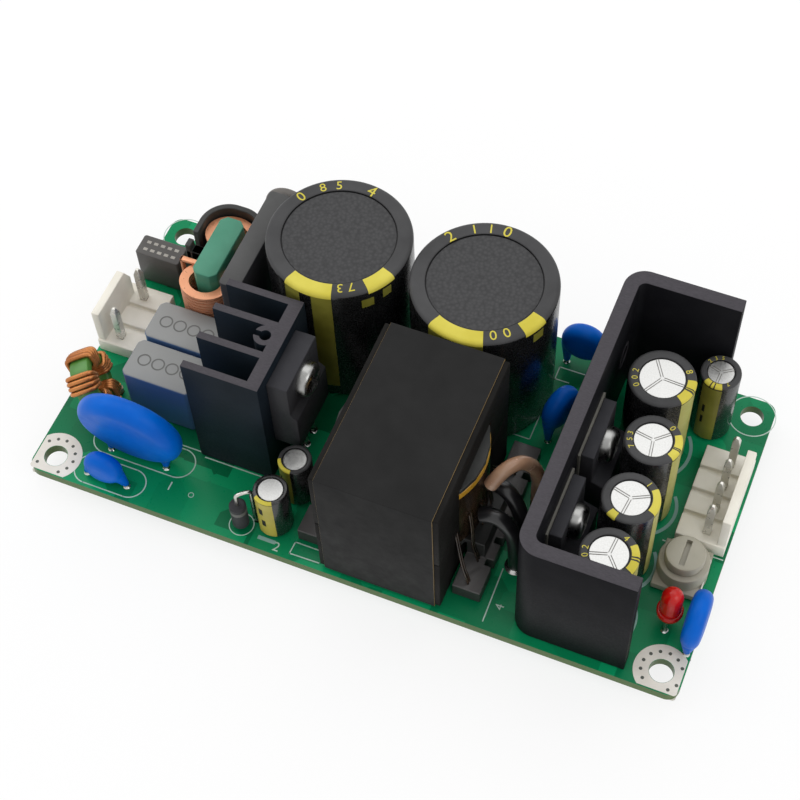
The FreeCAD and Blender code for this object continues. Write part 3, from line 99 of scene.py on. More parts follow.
class Finish:
    """A material whose colour, roughness and relief come from patterns in the part's own coordinates."""

    def __init__(self, name, rough, metal=0.0, shine=0.5, stretch=(1.0, 1.0, 1.0)):
        material = bpy.data.materials.new(name + "_finish")
        material.use_nodes = True
        FINISHES[name] = material
        self.tree = material.node_tree
        self.give("Roughness", rough).give("Metallic", metal).give("Specular IOR Level", shine)
        own = shader_node(self.tree, "TexCoord").outputs["Object"]
        self.place = shader_node(self.tree, "Mapping", {"Vector": own, "Scale": stretch}).outputs["Vector"]
        self.relief = None

    def give(self, name, value):
        feed(self.tree, self.tree.nodes["Principled BSDF"].inputs[name], value)
        return self

    def pattern(self, kind, size, inputs=(), **settings):
        """A pattern whose features are about that many millimetres across."""
        inputs = {"Vector": self.place, "Scale": 1 / (size * MM), **dict(inputs)}
        return shader_node(self.tree, kind, inputs, **settings).outputs

    def grain(self, size, detail=3.0):
        return self.pattern("TexNoise", size, {"Detail": detail, "Roughness": 0.55})["Fac"]

    def cells(self, size):
        """The distance from the middle of the nearest cell."""
        return self.pattern("TexVoronoi", size)["Distance"]

    def fields(self, size):
        """A colour of its own for each of many uneven squares, and the distance from its middle."""
        blocks = self.pattern("TexVoronoi", size, distance="CHEBYCHEV")
        return blocks["Color"], blocks["Distance"]

    def between(self, value, low, high, start=0.3, end=0.7):
        """A colour that runs from low to high as the value goes from start to end."""
        ramp = shader_node(self.tree, "ValToRGB", {"Fac": value})
        for stop, position, colour in zip(ramp.color_ramp.elements, (start, end), (low, high)):
            stop.position, stop.color = position, colour
        return ramp.outputs["Color"]

    def spread(self, value, low, high, start=0.3, end=0.7):
        """A number that runs from low to high as the value goes from start to end."""
        inputs = {"Value": value, "From Min": start, "From Max": end, "To Min": low, "To Max": high}
        return shader_node(self.tree, "MapRange", inputs).outputs["Result"]

    def over(self, factor, below, above):
        """The colour above laid over the colour below as far as the factor says."""
        return shader_node(self.tree, "Mix", {0: factor, 6: below, 7: above}, data_type="RGBA").outputs[2]

    def dimmed(self, colour, share):
        """A colour multiplied by a number."""
        inputs = {0: colour, "Scale": share}
        return shader_node(self.tree, "VectorMath", inputs, operation="SCALE").outputs["Vector"]

    def upward(self):
        """How far a face looks up or down, from 0 on a side to 1 on a top."""
        normal = shader_node(self.tree, "NewGeometry").outputs["Normal"]
        rise = shader_node(self.tree, "SeparateXYZ", {"Vector": normal}).outputs["Z"]
        return shader_node(self.tree, "Math", {0: rise}, operation="ABSOLUTE").outputs["Value"]

    def bump(self, source, height):
        """Relief of about that many millimetres."""
        inputs = {"Height": source, "Distance": height * MM}
        if self.relief:
            inputs["Normal"] = self.relief
        self.relief = shader_node(self.tree, "Bump", inputs).outputs["Normal"]
        return self.give("Normal", self.relief)


def coated(name, dark, light, rough, grain, relief, metal=0.0, mottle=6.0, shine=0.5, through=0.0):
    """A plain finish with soft mottling of its colour and a fine grain in its surface."""
    finish = Finish(name, rough, metal, shine).give("Transmission Weight", through)
    finish.give("Base Color", finish.between(finish.grain(mottle), tone(*dark), tone(*light)))
    fine = finish.grain(grain)
    finish.give("Roughness", finish.spread(fine, max(rough - 0.06, 0.02), min(rough + 0.06, 1)))
    finish.bump(fine, relief)


def lit_top_shaded_sides(name, top, side, rough):
    """A potted case: pale on its faces that look up and down as painted light, dark blue and glossy on its
    sides as painted shade with a painted reflection of the blue varistor.
    """
    finish = Finish(name, rough, shine=0.3)
    # the share of painted light: 1 on faces that look up or down, 0 on the sides
    painted_light_share = finish.spread(finish.upward(), 0.0, 1.0, 0.5, 0.8)
    mottle = finish.spread(finish.grain(4.0), 0.94, 1.0)
    finish.give("Base Color", finish.dimmed(finish.over(painted_light_share, tone(*side), tone(*top)), mottle))
    finish.bump(finish.grain(0.4), 0.01)


def solder_mask(name):
    """Green lacquer over copper fields, with small vias and bare laminate at the board's edges."""
    finish = Finish(name, 0.3, shine=0.15)
    field, distance = finish.fields(6.5)
    lacquer = finish.between(field, tone(2, 106, 66), tone(12, 152, 98), 0.2, 0.75)
    vias = finish.spread(distance, 1.0, 0.0, 0.035, 0.05)
    lacquer = finish.over(vias, lacquer, tone(140, 160, 120))
    sides = finish.spread(finish.upward(), 1.0, 0.0, 0.4, 0.6)
    finish.give("Base Color", finish.over(sides, lacquer, tone(78, 104, 52)))
    fine = finish.grain(0.5)
    finish.give("Roughness", finish.spread(fine, 0.26, 0.36))
    finish.bump(field, 0.02).bump(fine, 0.004)


def lined(name, dark, light, rough, metal, grain, detail, relief, shine=0.5, stretch=(1.0, 1.0, 1.0)):
    """Worked metal whose colour, roughness and relief all follow its fine lines."""
    finish = Finish(name, rough, metal, shine, stretch)
    lines = finish.grain(grain, detail)
    finish.give("Base Color", finish.between(lines, tone(*dark), tone(*light)))
    finish.give("Roughness", finish.spread(lines, rough - 0.08, rough + 0.1))
    finish.bump(lines, relief)


def shrunk_sleeve(name, dark, light, rough):
    """A shrunk plastic sleeve: glossy, with faint waves where it has drawn tight."""
    finish = Finish(name, rough).give("Coat Weight", 0.25)
    finish.give("Base Color", finish.between(finish.grain(3.0), tone(*dark), tone(*light)))
    fine = finish.grain(0.3)
    finish.give("Roughness", finish.spread(fine, rough - 0.06, rough + 0.08))
    finish.bump(finish.grain(2.2, 1.0), 0.05).bump(fine, 0.004)


def pebbled(name, dark, light, rough, size, relief):
    """A stamped skin with a visible pebble grain."""
    finish = Finish(name, rough, shine=0.15)
    pebbles = finish.cells(size)
    finish.give("Base Color", finish.between(pebbles, tone(*light), tone(*dark), 0.1, 0.8))
    finish.give("Roughness", finish.spread(finish.grain(size), rough - 0.08, rough + 0.08))
    finish.bump(pebbles, -relief)


# Finishes of the record's slots: the darkest and the lightest colour of the mottling, then the roughness,
# the size of the surface's grain, its relief, and how metallic it is.
solder_mask("board_green")
coated("header_cream", (228, 223, 209), (240, 236, 224), 0.42, 0.35, 0.006)
coated("tinned_posts", (206, 204, 196), (226, 224, 218), 0.3, 1.2, 0.001, 0.6)
coated("fuse_black", (80, 78, 76), (90, 88, 86), 0.4, 0.3, 0.006, shine=0.25)
# Film capacitors: a grey case; the dark blue of the sides is painted shade with a painted reflection of the
# blue varistor.
lit_top_shaded_sides("film_grey", (142, 143, 142), (72, 100, 140), 0.36)
coated("toroid_green", (58, 112, 44), (84, 142, 60), 0.35, 0.5, 0.006)
coated("enamelled_copper", (158, 92, 44), (202, 132, 72), 0.26, 1.0, 0.002, 0.5)
coated("disc_blue", (0, 90, 192), (0, 102, 208), 0.38, 1.6, 0.01, shine=0.12)
coated("thermistor_black", (84, 80, 76), (104, 99, 94), 0.5, 0.6, 0.02)
coated("choke_green", (62, 130, 104), (72, 142, 116), 0.42, 0.8, 0.01, shine=0.35)
coated("flat_copper", (214, 142, 102), (236, 166, 126), 0.32, 0.8, 0.0005, 0.3)
coated("holder_black", (44, 45, 44), (56, 57, 56), 0.42, 0.5, 0.006, shine=0.3)
coated("package_black", (50, 50, 53), (60, 60, 63), 0.5, 0.3, 0.005, shine=0.15)
coated("anodised_black", (20, 20, 23), (28, 28, 31), 0.45, 0.3, 0.003, shine=0.04)
coated("tinned_wire", (176, 174, 168), (208, 206, 200), 0.28, 1.0, 0.003, 1.0)
coated("plated_screw", (128, 128, 126), (172, 172, 170), 0.3, 1.0, 0.001, 1.0)
shrunk_sleeve("can_sleeve", (17, 17, 18), (28, 28, 29), 0.28)
# Ferrite is dark grey; this near black is partly painted shade, so the core that shows beside the tape
# reads as the shaded inside.
coated("ferrite_grey", (24, 23, 22), (32, 31, 30), 0.6, 0.3, 0.006, shine=0.06)
coated("tape_black", (34, 34, 34), (39, 39, 39), 0.6, 1.6, 0.003, shine=0.08)
coated("tape_yellow", (170, 126, 38), (200, 156, 56), 0.3, 1.0, 0.008)
coated("sleeve_clear", (186, 138, 106), (206, 172, 146), 0.22, 1.2, 0.004, mottle=3.0, through=0.25)
shrunk_sleeve("sleeve_black", (20, 20, 22), (32, 32, 34), 0.34)
# The rectifiers' pads are white; this dark grey is painted shade, for the shade inside the channel.
coated("pad_white", (92, 90, 84), (110, 108, 101), 0.6, 0.4, 0.006)
coated("trimmer_grey", (164, 160, 143), (182, 177, 161), 0.34, 0.8, 0.004, through=0.12)
coated("led_red", (184, 10, 8), (206, 22, 18), 0.16, 0.8, 0.001, shine=0.3, through=0.15)
coated("chip_ceramic", (36, 34, 33), (54, 52, 50), 0.5, 0.3, 0.006)

# Finishes that only the looks have.
coated("package_top", (50, 50, 54), (60, 60, 64), 0.55, 0.3, 0.005, shine=0.15)
# The bridge's black painted lighter grey on its top: painted light from above.
coated("bridge_top_painted_light", (78, 78, 78), (88, 88, 88), 0.55, 0.5, 0.005, shine=0.15)
# The sleeve's black painted grey on the rim's upward faces: painted light.
coated("rim_painted_light", (62, 62, 63), (74, 74, 75), 0.42, 1.4, 0.006, shine=0.15)
pebbled("pebbled_disc", (60, 60, 61), (74, 74, 75), 0.55, 0.5, 0.03)
lined("can_metal", (184, 184, 182), (202, 202, 200), 0.36, 1.0, 0.25, 2.0, 0.0005)
# Darker strips for the lids' scores: painted shade in the grooves.
coated("score_painted_shade", (112, 110, 106), (136, 134, 130), 0.5, 0.4, 0.002)
coated("dark_groove", (12, 12, 13), (20, 20, 21), 0.5, 0.4, 0.002, shine=0.2)
coated("yellow_mark", (200, 186, 62), (216, 204, 86), 0.45, 0.4, 0.005, shine=0.25)
# Darker, duller copies of the rims' yellow print for the stripes on the cans' sides: painted shade.
coated("yellow_stripe_in_shade", (116, 112, 40), (146, 142, 62), 0.35, 0.8, 0.004, shine=0.35)
coated("pale_stripe_in_shade", (168, 164, 90), (188, 184, 108), 0.35, 0.8, 0.004, shine=0.35)
coated("gold_stripe_in_shade", (164, 152, 56), (190, 178, 78), 0.35, 0.8, 0.004, shine=0.35)
# Lighter grey with fine lines for the heatsinks' top faces and the fixing hole's edge: painted light.
lined("edge_painted_light", (62, 60, 64), (76, 73, 78), 0.5, 0.2, 0.5, 3.0, 0.01, 0.15, (1.0, 4.0, 1.0))
coated("dark_fin", (24, 31, 38), (30, 38, 46), 0.45, 0.3, 0.003, shine=0.06)
coated("white_print", (168, 196, 184), (196, 214, 204), 0.6, 0.2, 0.002)
coated("pale_print", (126, 168, 160), (146, 184, 176), 0.6, 0.2, 0.002)
coated("silver_pad", (216, 211, 201), (236, 232, 223), 0.45, 0.5, 0.006)
coated("solder", (176, 176, 174), (212, 212, 210), 0.24, 1.0, 0.01, 1.0)
coated("via_dark", (60, 66, 60), (84, 88, 80), 0.5, 0.3, 0.002)
coated("tape_edge", (104, 84, 44), (134, 108, 60), 0.4, 0.6, 0.004)
coated("dark_wire", (28, 23, 19), (66, 50, 36), 0.2, 0.8, 0.004)
coated("resin_fill", (66, 68, 72), (84, 86, 90), 0.5, 0.5, 0.02)
coated("dark_mark", (84, 84, 82), (98, 98, 96), 0.5, 0.5, 0.004)
coated("light_mark", (150, 146, 138), (172, 168, 160), 0.5, 0.4, 0.004)
# The bobbin's black painted lighter grey on its rails' upward faces: painted light.
coated("rail_tops_painted_light", (80, 78, 78), (98, 96, 95), 0.35, 0.6, 0.005, shine=0.3)

for node, item in nodes.items():
    item.data.materials.clear()
    item.data.materials.append(FINISHES[SLOT_OF[node]])


# Making pieces.

def fresh(mesh):
    part = bmesh.new()
    part.from_mesh(mesh)
    bpy.data.meshes.remove(mesh)
    return part


def sheet_of(part):
    mesh = bpy.data.meshes.new("part")
    part.to_mesh(mesh)
    part.free()
    return mesh


def healed(part, reach=0.0005):
    """A part whose doubled vertices are merged and whose faces look outward."""
    bmesh.ops.remove_doubles(part, verts=part.verts, dist=reach)
    bmesh.ops.recalc_face_normals(part, faces=part.faces)
    return part


def placed(part, place):
    bmesh.ops.transform(part, matrix=place, verts=part.verts)
    return part


def at(x, y, z=0.0):
    return Matrix.Translation((x, y, z))


def turned_to(degrees, axis):
    return Matrix.Rotation(math.radians(degrees), 4, axis)


def block(low, high):
    """A plain block between two corners."""
    part = bmesh.new()
    bmesh.ops.create_cube(part, size=1.0)
    low, high = Vector(low), Vector(high)
    bmesh.ops.scale(part, vec=high - low, verts=part.verts)
    bmesh.ops.translate(part, vec=(low + high) / 2, verts=part.verts)
    return part


def soften(part, width, segments=2, sharper=25):
    """Rounds the edges where faces meet at more than an angle."""
    limit = math.radians(sharper)
    edges = [edge for edge in part.edges if edge.is_manifold and edge.calc_face_angle() > limit]
    bmesh.ops.bevel(part, geom=edges, offset=width, offset_type="OFFSET", segments=segments, profile=0.5,
                    affect="EDGES", material=-1, clamp_overlap=True)
    return part


def lathe(profile, steps=64, sweep=360.0, start=0.0, closed=False):
    """Spins (radius, height) corners about the Z axis. A closed profile comes back to its first corner."""
    part = bmesh.new()
    turn = turned_to(start, "Z")
    corners = list(profile) + (list(profile[:1]) if closed else [])
    points = [part.verts.new(turn @ Vector((radius, 0, height))) for radius, height in corners]
    edges = [part.edges.new(pair) for pair in zip(points, points[1:])]
    bmesh.ops.spin(part, geom=points + edges, cent=(0, 0, 0), axis=(0, 0, 1), dvec=(0, 0, 0),
                   angle=math.radians(sweep), steps=steps, use_merge=sweep >= 360)
    return healed(part)


def film(part, thickness):
    """Gives an open skin a thickness on its outer side."""
    bmesh.ops.solidify(part, geom=part.faces, thickness=-thickness)
    return healed(part)


def slab(corners, low, high):
    """An upright slab over an outline of (x, y) corners."""
    part = bmesh.new()
    face = part.faces.new([part.verts.new((x, y, low)) for x, y in corners])
    grown = bmesh.ops.extrude_face_region(part, geom=[face])["geom"]
    lifted = [vert for vert in grown if isinstance(vert, bmesh.types.BMVert)]
    bmesh.ops.translate(part, vec=(0, 0, high - low), verts=lifted)
    return healed(part)


def cut_off(part, point, away):
    """Takes away what lies past a plane and closes the cut."""
    cut = bmesh.ops.bisect_plane(part, geom=part.verts[:] + part.edges[:] + part.faces[:], plane_co=point,
                                 plane_no=away, clear_outer=True)["geom_cut"]
    bmesh.ops.holes_fill(part, edges=[e for e in cut if isinstance(e, bmesh.types.BMEdge)], sides=0)


def of_curve(curve):
    """The surface of a curve or of numerals."""
    item = bpy.data.objects.new("curve", curve)
    part = fresh(bpy.data.meshes.new_from_object(item))
    bpy.data.objects.remove(item)
    bpy.data.curves.remove(curve)
    return healed(part)


def tube(points, radius, closed=False, kind="POLY", sides=12, fineness=12):
    """A round wire or sleeve along points."""
    curve = bpy.data.curves.new("route", "CURVE")
    curve.dimensions = "3D"
    curve.bevel_depth = radius
    curve.bevel_resolution = sides // 4
    curve.use_fill_caps = not closed
    spline = curve.splines.new(kind)
    spline.points.add(len(points) - 1)
    for point, place in zip(spline.points, points):
        point.co = (*place, 1.0)
    spline.use_cyclic_u = closed
    if kind == "NURBS":
        spline.order_u = 3
        spline.resolution_u = fineness
        spline.use_endpoint_u = not closed
    return of_curve(curve)


def numeral(text, height, thickness=0.04):
    """A plain number as a thin slab that lies in the XY plane, its middle at the origin."""
    letters = bpy.data.curves.new("numeral", "FONT")
    letters.body = text
    letters.size = height * 1.4
    letters.align_x = "CENTER"
    letters.align_y = "CENTER"
    letters.resolution_u = 3
    letters.extrude = thickness / 2
    return of_curve(letters)


def stood(part):
    """A part as an object of the scene, for modifiers."""
    item = bpy.data.objects.new("work", sheet_of(part))
    bpy.context.scene.collection.objects.link(item)
    return item


def cleared(item):
    mesh = item.data
    bpy.data.objects.remove(item)
    bpy.data.meshes.remove(mesh)


def worked(part, add_modifiers):
    """A part after modifiers that a function adds to it."""
    item = stood(part)
    add_modifiers(item)
    bpy.context.view_layer.update()
    made = fresh(bpy.data.meshes.new_from_object(item.evaluated_get(bpy.context.evaluated_depsgraph_get())))
    cleared(item)
    return made


def carved(part, tool):
    """A part with the room that a tool takes cut out of it."""
    cutter = stood(tool)

    def cut(item):
        modifier = item.modifiers.new("cut", "BOOLEAN")
        modifier.operation = "DIFFERENCE"
        modifier.solver = "EXACT"
        modifier.object = cutter

    made = worked(part, cut)
    cleared(cutter)
    return made


def melted(parts, grain):
    """Parts run together under one skin, as dipped resin does."""
    whole = bmesh.new()
    for part in parts:
        mesh = sheet_of(part)
        whole.from_mesh(mesh)
        bpy.data.meshes.remove(mesh)

    def melt(item):
        skin = item.modifiers.new("skin", "REMESH")
        skin.mode = "VOXEL"
        skin.voxel_size = grain
        smooth = item.modifiers.new("smooth", "SMOOTH")
        smooth.iterations = 6
        smooth.factor = 0.5

    return worked(whole, melt)


def copy_of(node):
    """A merged copy of a node's shape in millimetres, with its flat faces whole."""
    part = bmesh.new()
    part.from_mesh(nodes[node].data)
    bmesh.ops.scale(part, vec=(1 / MM, 1 / MM, 1 / MM), verts=part.verts)
    bmesh.ops.remove_doubles(part, verts=part.verts, dist=0.002)
    bmesh.ops.dissolve_limit(part, angle_limit=math.radians(1.0), use_dissolve_boundaries=False,
                             verts=part.verts, edges=part.edges)
    return part


def span(node):
    """A node's lowest and highest corners in millimetres."""
    low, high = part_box(node)
    return low / MM, high / MM


def over_middle(low, high):
    return at((low.x + high.x) / 2, (low.y + high.y) / 2)


def islands(node):
    """The lowest and highest corners of each separate solid of a node."""
    part = copy_of(node)
    left = set(part.verts)
    found = []
    while left:
        places, rim = [], [left.pop()]
        while rim:
            vert = rim.pop()
            places.append(vert.co.copy())
            for other in [edge.other_vert(vert) for edge in vert.link_edges]:
                if other in left:
                    left.discard(other)
                    rim.append(other)
        found.append([Vector([pick(p[i] for p in places) for i in range(3)]) for pick in (min, max)])
    part.free()
    return sorted(found, key=lambda ends: tuple(ends[0]))


class Piece:
    """One finished piece, made of parts that each have their own finish.

    It takes the place of the node of that name, or it belongs to the looks alone and is given a slot.
    """

    def __init__(self, name, slot=None):
        self.name = name if slot else name + "_look"
        self.replaced = None if slot else name
        self.slot = slot or SLOT_OF[name]
        self.body = BODY_OF.get(name, "board_assembly")
        self.whole = bmesh.new()
        self.finishes = []

    def finish_index(self, finish):
        if finish not in self.finishes:
            self.finishes.append(finish)
        return self.finishes.index(finish)

    def add(self, part, finish=None, paint=()):
        """Adds a part; paint holds pairs of another finish and a test of the face that gets it."""
        base = self.finish_index(finish or self.slot)
        choices = [(self.finish_index(other), test) for other, test in paint]
        for face in part.faces:
            face.material_index = next((index for index, test in choices if test(face)), base)
        mesh = sheet_of(part)
        self.whole.from_mesh(mesh)
        bpy.data.meshes.remove(mesh)
        return self

    def done(self, sharp=35):
        """Makes the piece an object; edges sharper than that many degrees stay sharp."""
        bmesh.ops.scale(self.whole, vec=(MM, MM, MM), verts=self.whole.verts)
        mesh = sheet_of(self.whole)
        mesh.name = self.name
        mesh.shade_smooth()
        mesh.set_sharp_from_angle(angle=math.radians(sharp))
        item = bpy.data.objects.new(self.name, mesh)
        bpy.context.scene.collection.objects.link(item)
        for finish in self.finishes:
            mesh.materials.append(FINISHES[finish])
        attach(item, self.body)
        if self.replaced:
            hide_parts(self.replaced)


def dressed(node, width, segments=2, finish=None, paint=(), extra=()):
    """A node's own shape with rounded edges, painted faces and extra parts."""
    piece = Piece(node).add(soften(copy_of(node), width, segments), finish, paint)
    for part, other in extra:
        piece.add(part, other)
    piece.done()


def looks_up(face):
    return face.normal.z > 0.9


# The board's own levels and the places that its parts stand at. Its underside is at height 0.

BOARD_TOP = span("circuit_board")[1].z
TAIL = -2.4
HOLE_X, HOLE_Y = 47.625, 22.225
HOLE_RADIUS = 1.75


# Leads: round wires or stamped bars with a fillet of solder on each side of the board.

LEAD_RADIUS = 0.3
WIDEST_WIRE = 0.32
SOLDER_MARGIN = 0.55


def fillet(radius, reach, climb, place, over=False):
    """Solder that climbs a lead from the underside of the board, or from its upper side."""
    face, away = (BOARD_TOP, 1) if over else (0.0, -1)
    hollow = [(1.0, 0.0), (0.6, 0.22), (0.3, 0.55), (0.0, 1.0)]
    rings = [(0.0, face)]
    rings += [(radius + (reach - radius) * out, face + away * climb * up) for out, up in hollow]
    return placed(lathe(rings + [(0.0, face + away * climb)], 20), place)


def leads(node):
    piece = Piece(node)
    for low, high in islands(node):
        # the node's taper of solder is wider than the bar by the same amount on each side
        half_x, half_y = ((high[i] - low[i]) / 2 - SOLDER_MARGIN for i in (0, 1))
        if max(half_x, half_y) > WIDEST_WIRE:
            radius, below, above = half_x, (0.9 + half_y / 2, 1.1), (0.7, 0.3)
            bar = soften(block((-half_x, -half_y, low.z), (half_x, half_y, high.z)), 0.06, 1)
        else:
            radius, below, above = LEAD_RADIUS, (0.85, 1.3), (0.55, 0.35)
            bar = lathe([(0, low.z), (radius * 0.7, low.z), (radius, low.z + 0.12), (radius, high.z),
                         (0, high.z)], 14)
        place = over_middle(low, high)
        piece.add(placed(bar, place)).add(fillet(radius, *below, place), "solder")
        if high.z > BOARD_TOP + 0.4:
            piece.add(fillet(radius, *above, place, over=True), "solder")
    piece.done(40)


def header_pins(node):
    """Square posts with a pyramid tip, pressed through the housing and soldered below."""
    half = 0.57
    wide = half * math.sqrt(2)
    piece = Piece(node)
    for low, high in islands(node):
        place = over_middle(low, high)
        post = [(0, low.z), (0.5 * wide, low.z), (wide, low.z + 0.6), (wide, high.z - 1.1),
                (0.4 * wide, high.z), (0, high.z)]
        piece.add(soften(placed(lathe(post, 4, start=45), place), 0.07, 1, 15))
        piece.add(fillet(half, 1.35, 1.5, place), "solder")
    piece.done(30)


for node in ("component_leads", "transformer_pins", "trimmer_terminals", "heatsink_pins"):
    leads(node)
header_pins("mains_header_pins")
header_pins("output_header_pins")
dressed("mains_header_housing", 0.14)
dressed("output_header_housing", 0.14)


# Moulded boxes: the fuse and the two film capacitors, with plain marks where print would be.

PRINT_LOW, PRINT_HIGH = -0.01, 0.02


def fuse():
    low, high = span("box_fuse")
    marks = []
    for row in range(2):
        for step in range(5):
            x, y = low.x + 1.0 + 1.2 * step, high.y - 1.45 - 1.4 * row
            dash = block((x, y, high.z + PRINT_LOW), (x + 0.7, y + 0.5, high.z + PRINT_HIGH))
            marks.append((dash, "light_mark"))
    dressed("box_fuse", 0.16, 3, extra=marks)


def film_capacitor(node):
    """A box with a row of printed rings on its top and resin in its open underside."""
    low, high = span(node)
    inner, outer, pitch = 0.82, 1.05, 2.3
    edge = [(inner, PRINT_LOW), (outer, PRINT_LOW), (outer, PRINT_HIGH), (inner, PRINT_HIGH)]
    rings = []
    for step in range(4):
        place = at(low.x + 2.4 + pitch * step, (low.y + high.y) / 2, high.z)
        rings.append((placed(lathe(edge, 24, closed=True), place), "dark_mark"))
    dressed(node, 0.3, 3, extra=rings, paint=[
        ("resin_fill", lambda face: face.normal.z < -0.9 and face.calc_center_median().z < low.z + 0.3)])


fuse()
film_capacitor("film_capacitor_front")
film_capacitor("film_capacitor_rear")


# Small toroid: a painted ring core under bundles of fine turns, with sleeved ends.

TOROID_PLACE = at(-46.0, -11.2, 7.45) @ turned_to(30, "Z") @ turned_to(-20, "Y")
TOROID_OUTER, TOROID_INNER, TOROID_WIDTH, TOROID_WIRE = 4.3, 2.6, 3.2, 0.8
TOROID_BUNDLES, TURNS_IN_BUNDLE, BUNDLE_SWEEP = 5, 4, 40.0
WIRE_END_ANGLES = (165.5, 194.5)


def toroid():
    half, ease = TOROID_WIDTH / 2, 0.45
    corner = [(0.0, ease), (0.3 * ease, 0.3 * ease), (ease, 0.0)]
    ring = [(TOROID_INNER + inset, half - drop) for inset, drop in corner]
    ring += [(TOROID_OUTER - inset, half - drop) for inset, drop in reversed(corner)]
    ring += [(radius, -height) for radius, height in reversed(ring)]
    Piece("toroid_core").add(placed(lathe(ring, 72, closed=True), TOROID_PLACE @ turned_to(90, "Y"))).done()

    windings = Piece("toroid_windings")
    wire = TOROID_WIRE / 2
    side, low, high = half + wire, TOROID_INNER - wire - 0.05, TOROID_OUTER + wire
    round_turn = [(-side, low), (-side, (low + high) / 2), (-side, high), (0, high + 0.05), (side, high),
                  (side, (low + high) / 2), (side, low), (0, low - 0.02)]
    for bundle in range(TOROID_BUNDLES):
        for step in range(TURNS_IN_BUNDLE):
            angle = 180 + 360.0 * bundle / TOROID_BUNDLES
            angle += BUNDLE_SWEEP / TURNS_IN_BUNDLE * (step - (TURNS_IN_BUNDLE - 1) / 2)
            turn = tube([(x, 0.0, z) for x, z in round_turn], 0.37, True, "NURBS", sides=8, fineness=5)
            windings.add(placed(turn, TOROID_PLACE @ turned_to(angle, "X")))
    for angle in WIRE_END_ANGLES:
        for face in (-1, 1):
            turn = math.radians(angle)
            end = TOROID_PLACE @ Vector((face * side, -high * math.sin(turn), high * math.cos(turn)))
            windings.add(tube([end, (end.x, end.y, TAIL)], LEAD_RADIUS))
            windings.add(fillet(LEAD_RADIUS, 0.85, 1.3, at(end.x, end.y)), "solder")
            sleeve = [(end.x, end.y, BOARD_TOP + 0.3), (end.x, end.y, end.z - 0.9)]
            windings.add(tube(sleeve, 0.5, sides=16), "sleeve_clear")
    windings.done(50)


toroid()


# Coated discs: lenses of resin run down over the necks of two legs.

NECK_FOOT = 0.51


def coated_disc(node, x, y, rise, radius, width, pitch, leg_rise=0.5, yaw=0.0, lean=0.0, grain=0.22):
    """A disc whose middle is at a rise over the board; its necks end at their own rise, a pitch apart."""
    half = width / 2
    rim = 0.78 * half
    lens = [(0, -half), (0.55 * radius, -0.97 * half)]
    for step in range(8):
        share = math.pi / 2 * step / 7
        lens.append((radius - rim + (rim + grain / 2) * math.sin(share), -0.92 * half * math.cos(share)))
    profile = lens + [(r, -h) for r, h in reversed(lens[:-1])]
    parts = [placed(lathe(profile, 56), turned_to(90 + lean, "X"))]
    drop = rise - leg_rise
    shoulder = min(2.2 * NECK_FOOT, 0.75 * half)
    reach = min(pitch / 2, radius * 0.72)
    up = max(shoulder - math.sqrt(radius ** 2 - reach ** 2), 0.8 - drop)
    back = -up * math.tan(math.radians(lean))
    for side in (-1, 1):
        neck = bmesh.new()
        bmesh.ops.create_cone(neck, cap_ends=True, segments=20, radius1=NECK_FOOT, radius2=shoulder,
                              depth=1.0)
        foot = Vector((side * pitch / 2, 0, -drop))
        run = Vector((side * reach, back, up)) - foot
        for vert in neck.verts:
            vert.co = foot + run * (vert.co.z + 0.5) + Vector((vert.co.x, vert.co.y, 0))
        parts.append(neck)
    skin = placed(melted(parts, grain), at(x, y, BOARD_TOP + rise) @ turned_to(yaw, "Z"))
    Piece(node).add(skin).done(80)


coated_disc("varistor", -35.7, -18.0, 8.6, 8.1, 4.1, 9.2, lean=8.7, grain=0.3)
coated_disc("front_disc_capacitor", -38.5, -23.0, 3.5, 2.95, 3.0, 6.6)
coated_disc("edge_disc_capacitor", 50.0, -15.3, 4.9, 4.2, 3.0, 6.4, yaw=90)
coated_disc("safety_capacitor", 20.8, 21.6, 6.6, 3.45, 3.2, 5.0)
coated_disc("bridging_capacitor", 21.3, 9.4, 6.6, 3.45, 3.2, 5.0, yaw=70)
coated_disc("thermistor", -27.8, 22.75, 15.9, 3.75, 2.3, 5.0, leg_rise=11.7, grain=0.18)


# Choke: a coated core with two coils of flat wire wound on edge, in a black holder.

COIL_X, COIL_REACH_X, COIL_REACH_Y, COIL_BAND = -34.75, 4.1, 3.5, 1.25
FRONT_COIL_Y, REAR_COIL_Y = 7.0, 16.2
COIL_BOTTOM, COIL_WIRE, COIL_TURNS, STEPS_IN_TURN = 6.05, 0.5, 12.8, 44
STRIP_HALF, STRIP_WIDE, PIN_HALF = 0.2, 0.4, 0.35


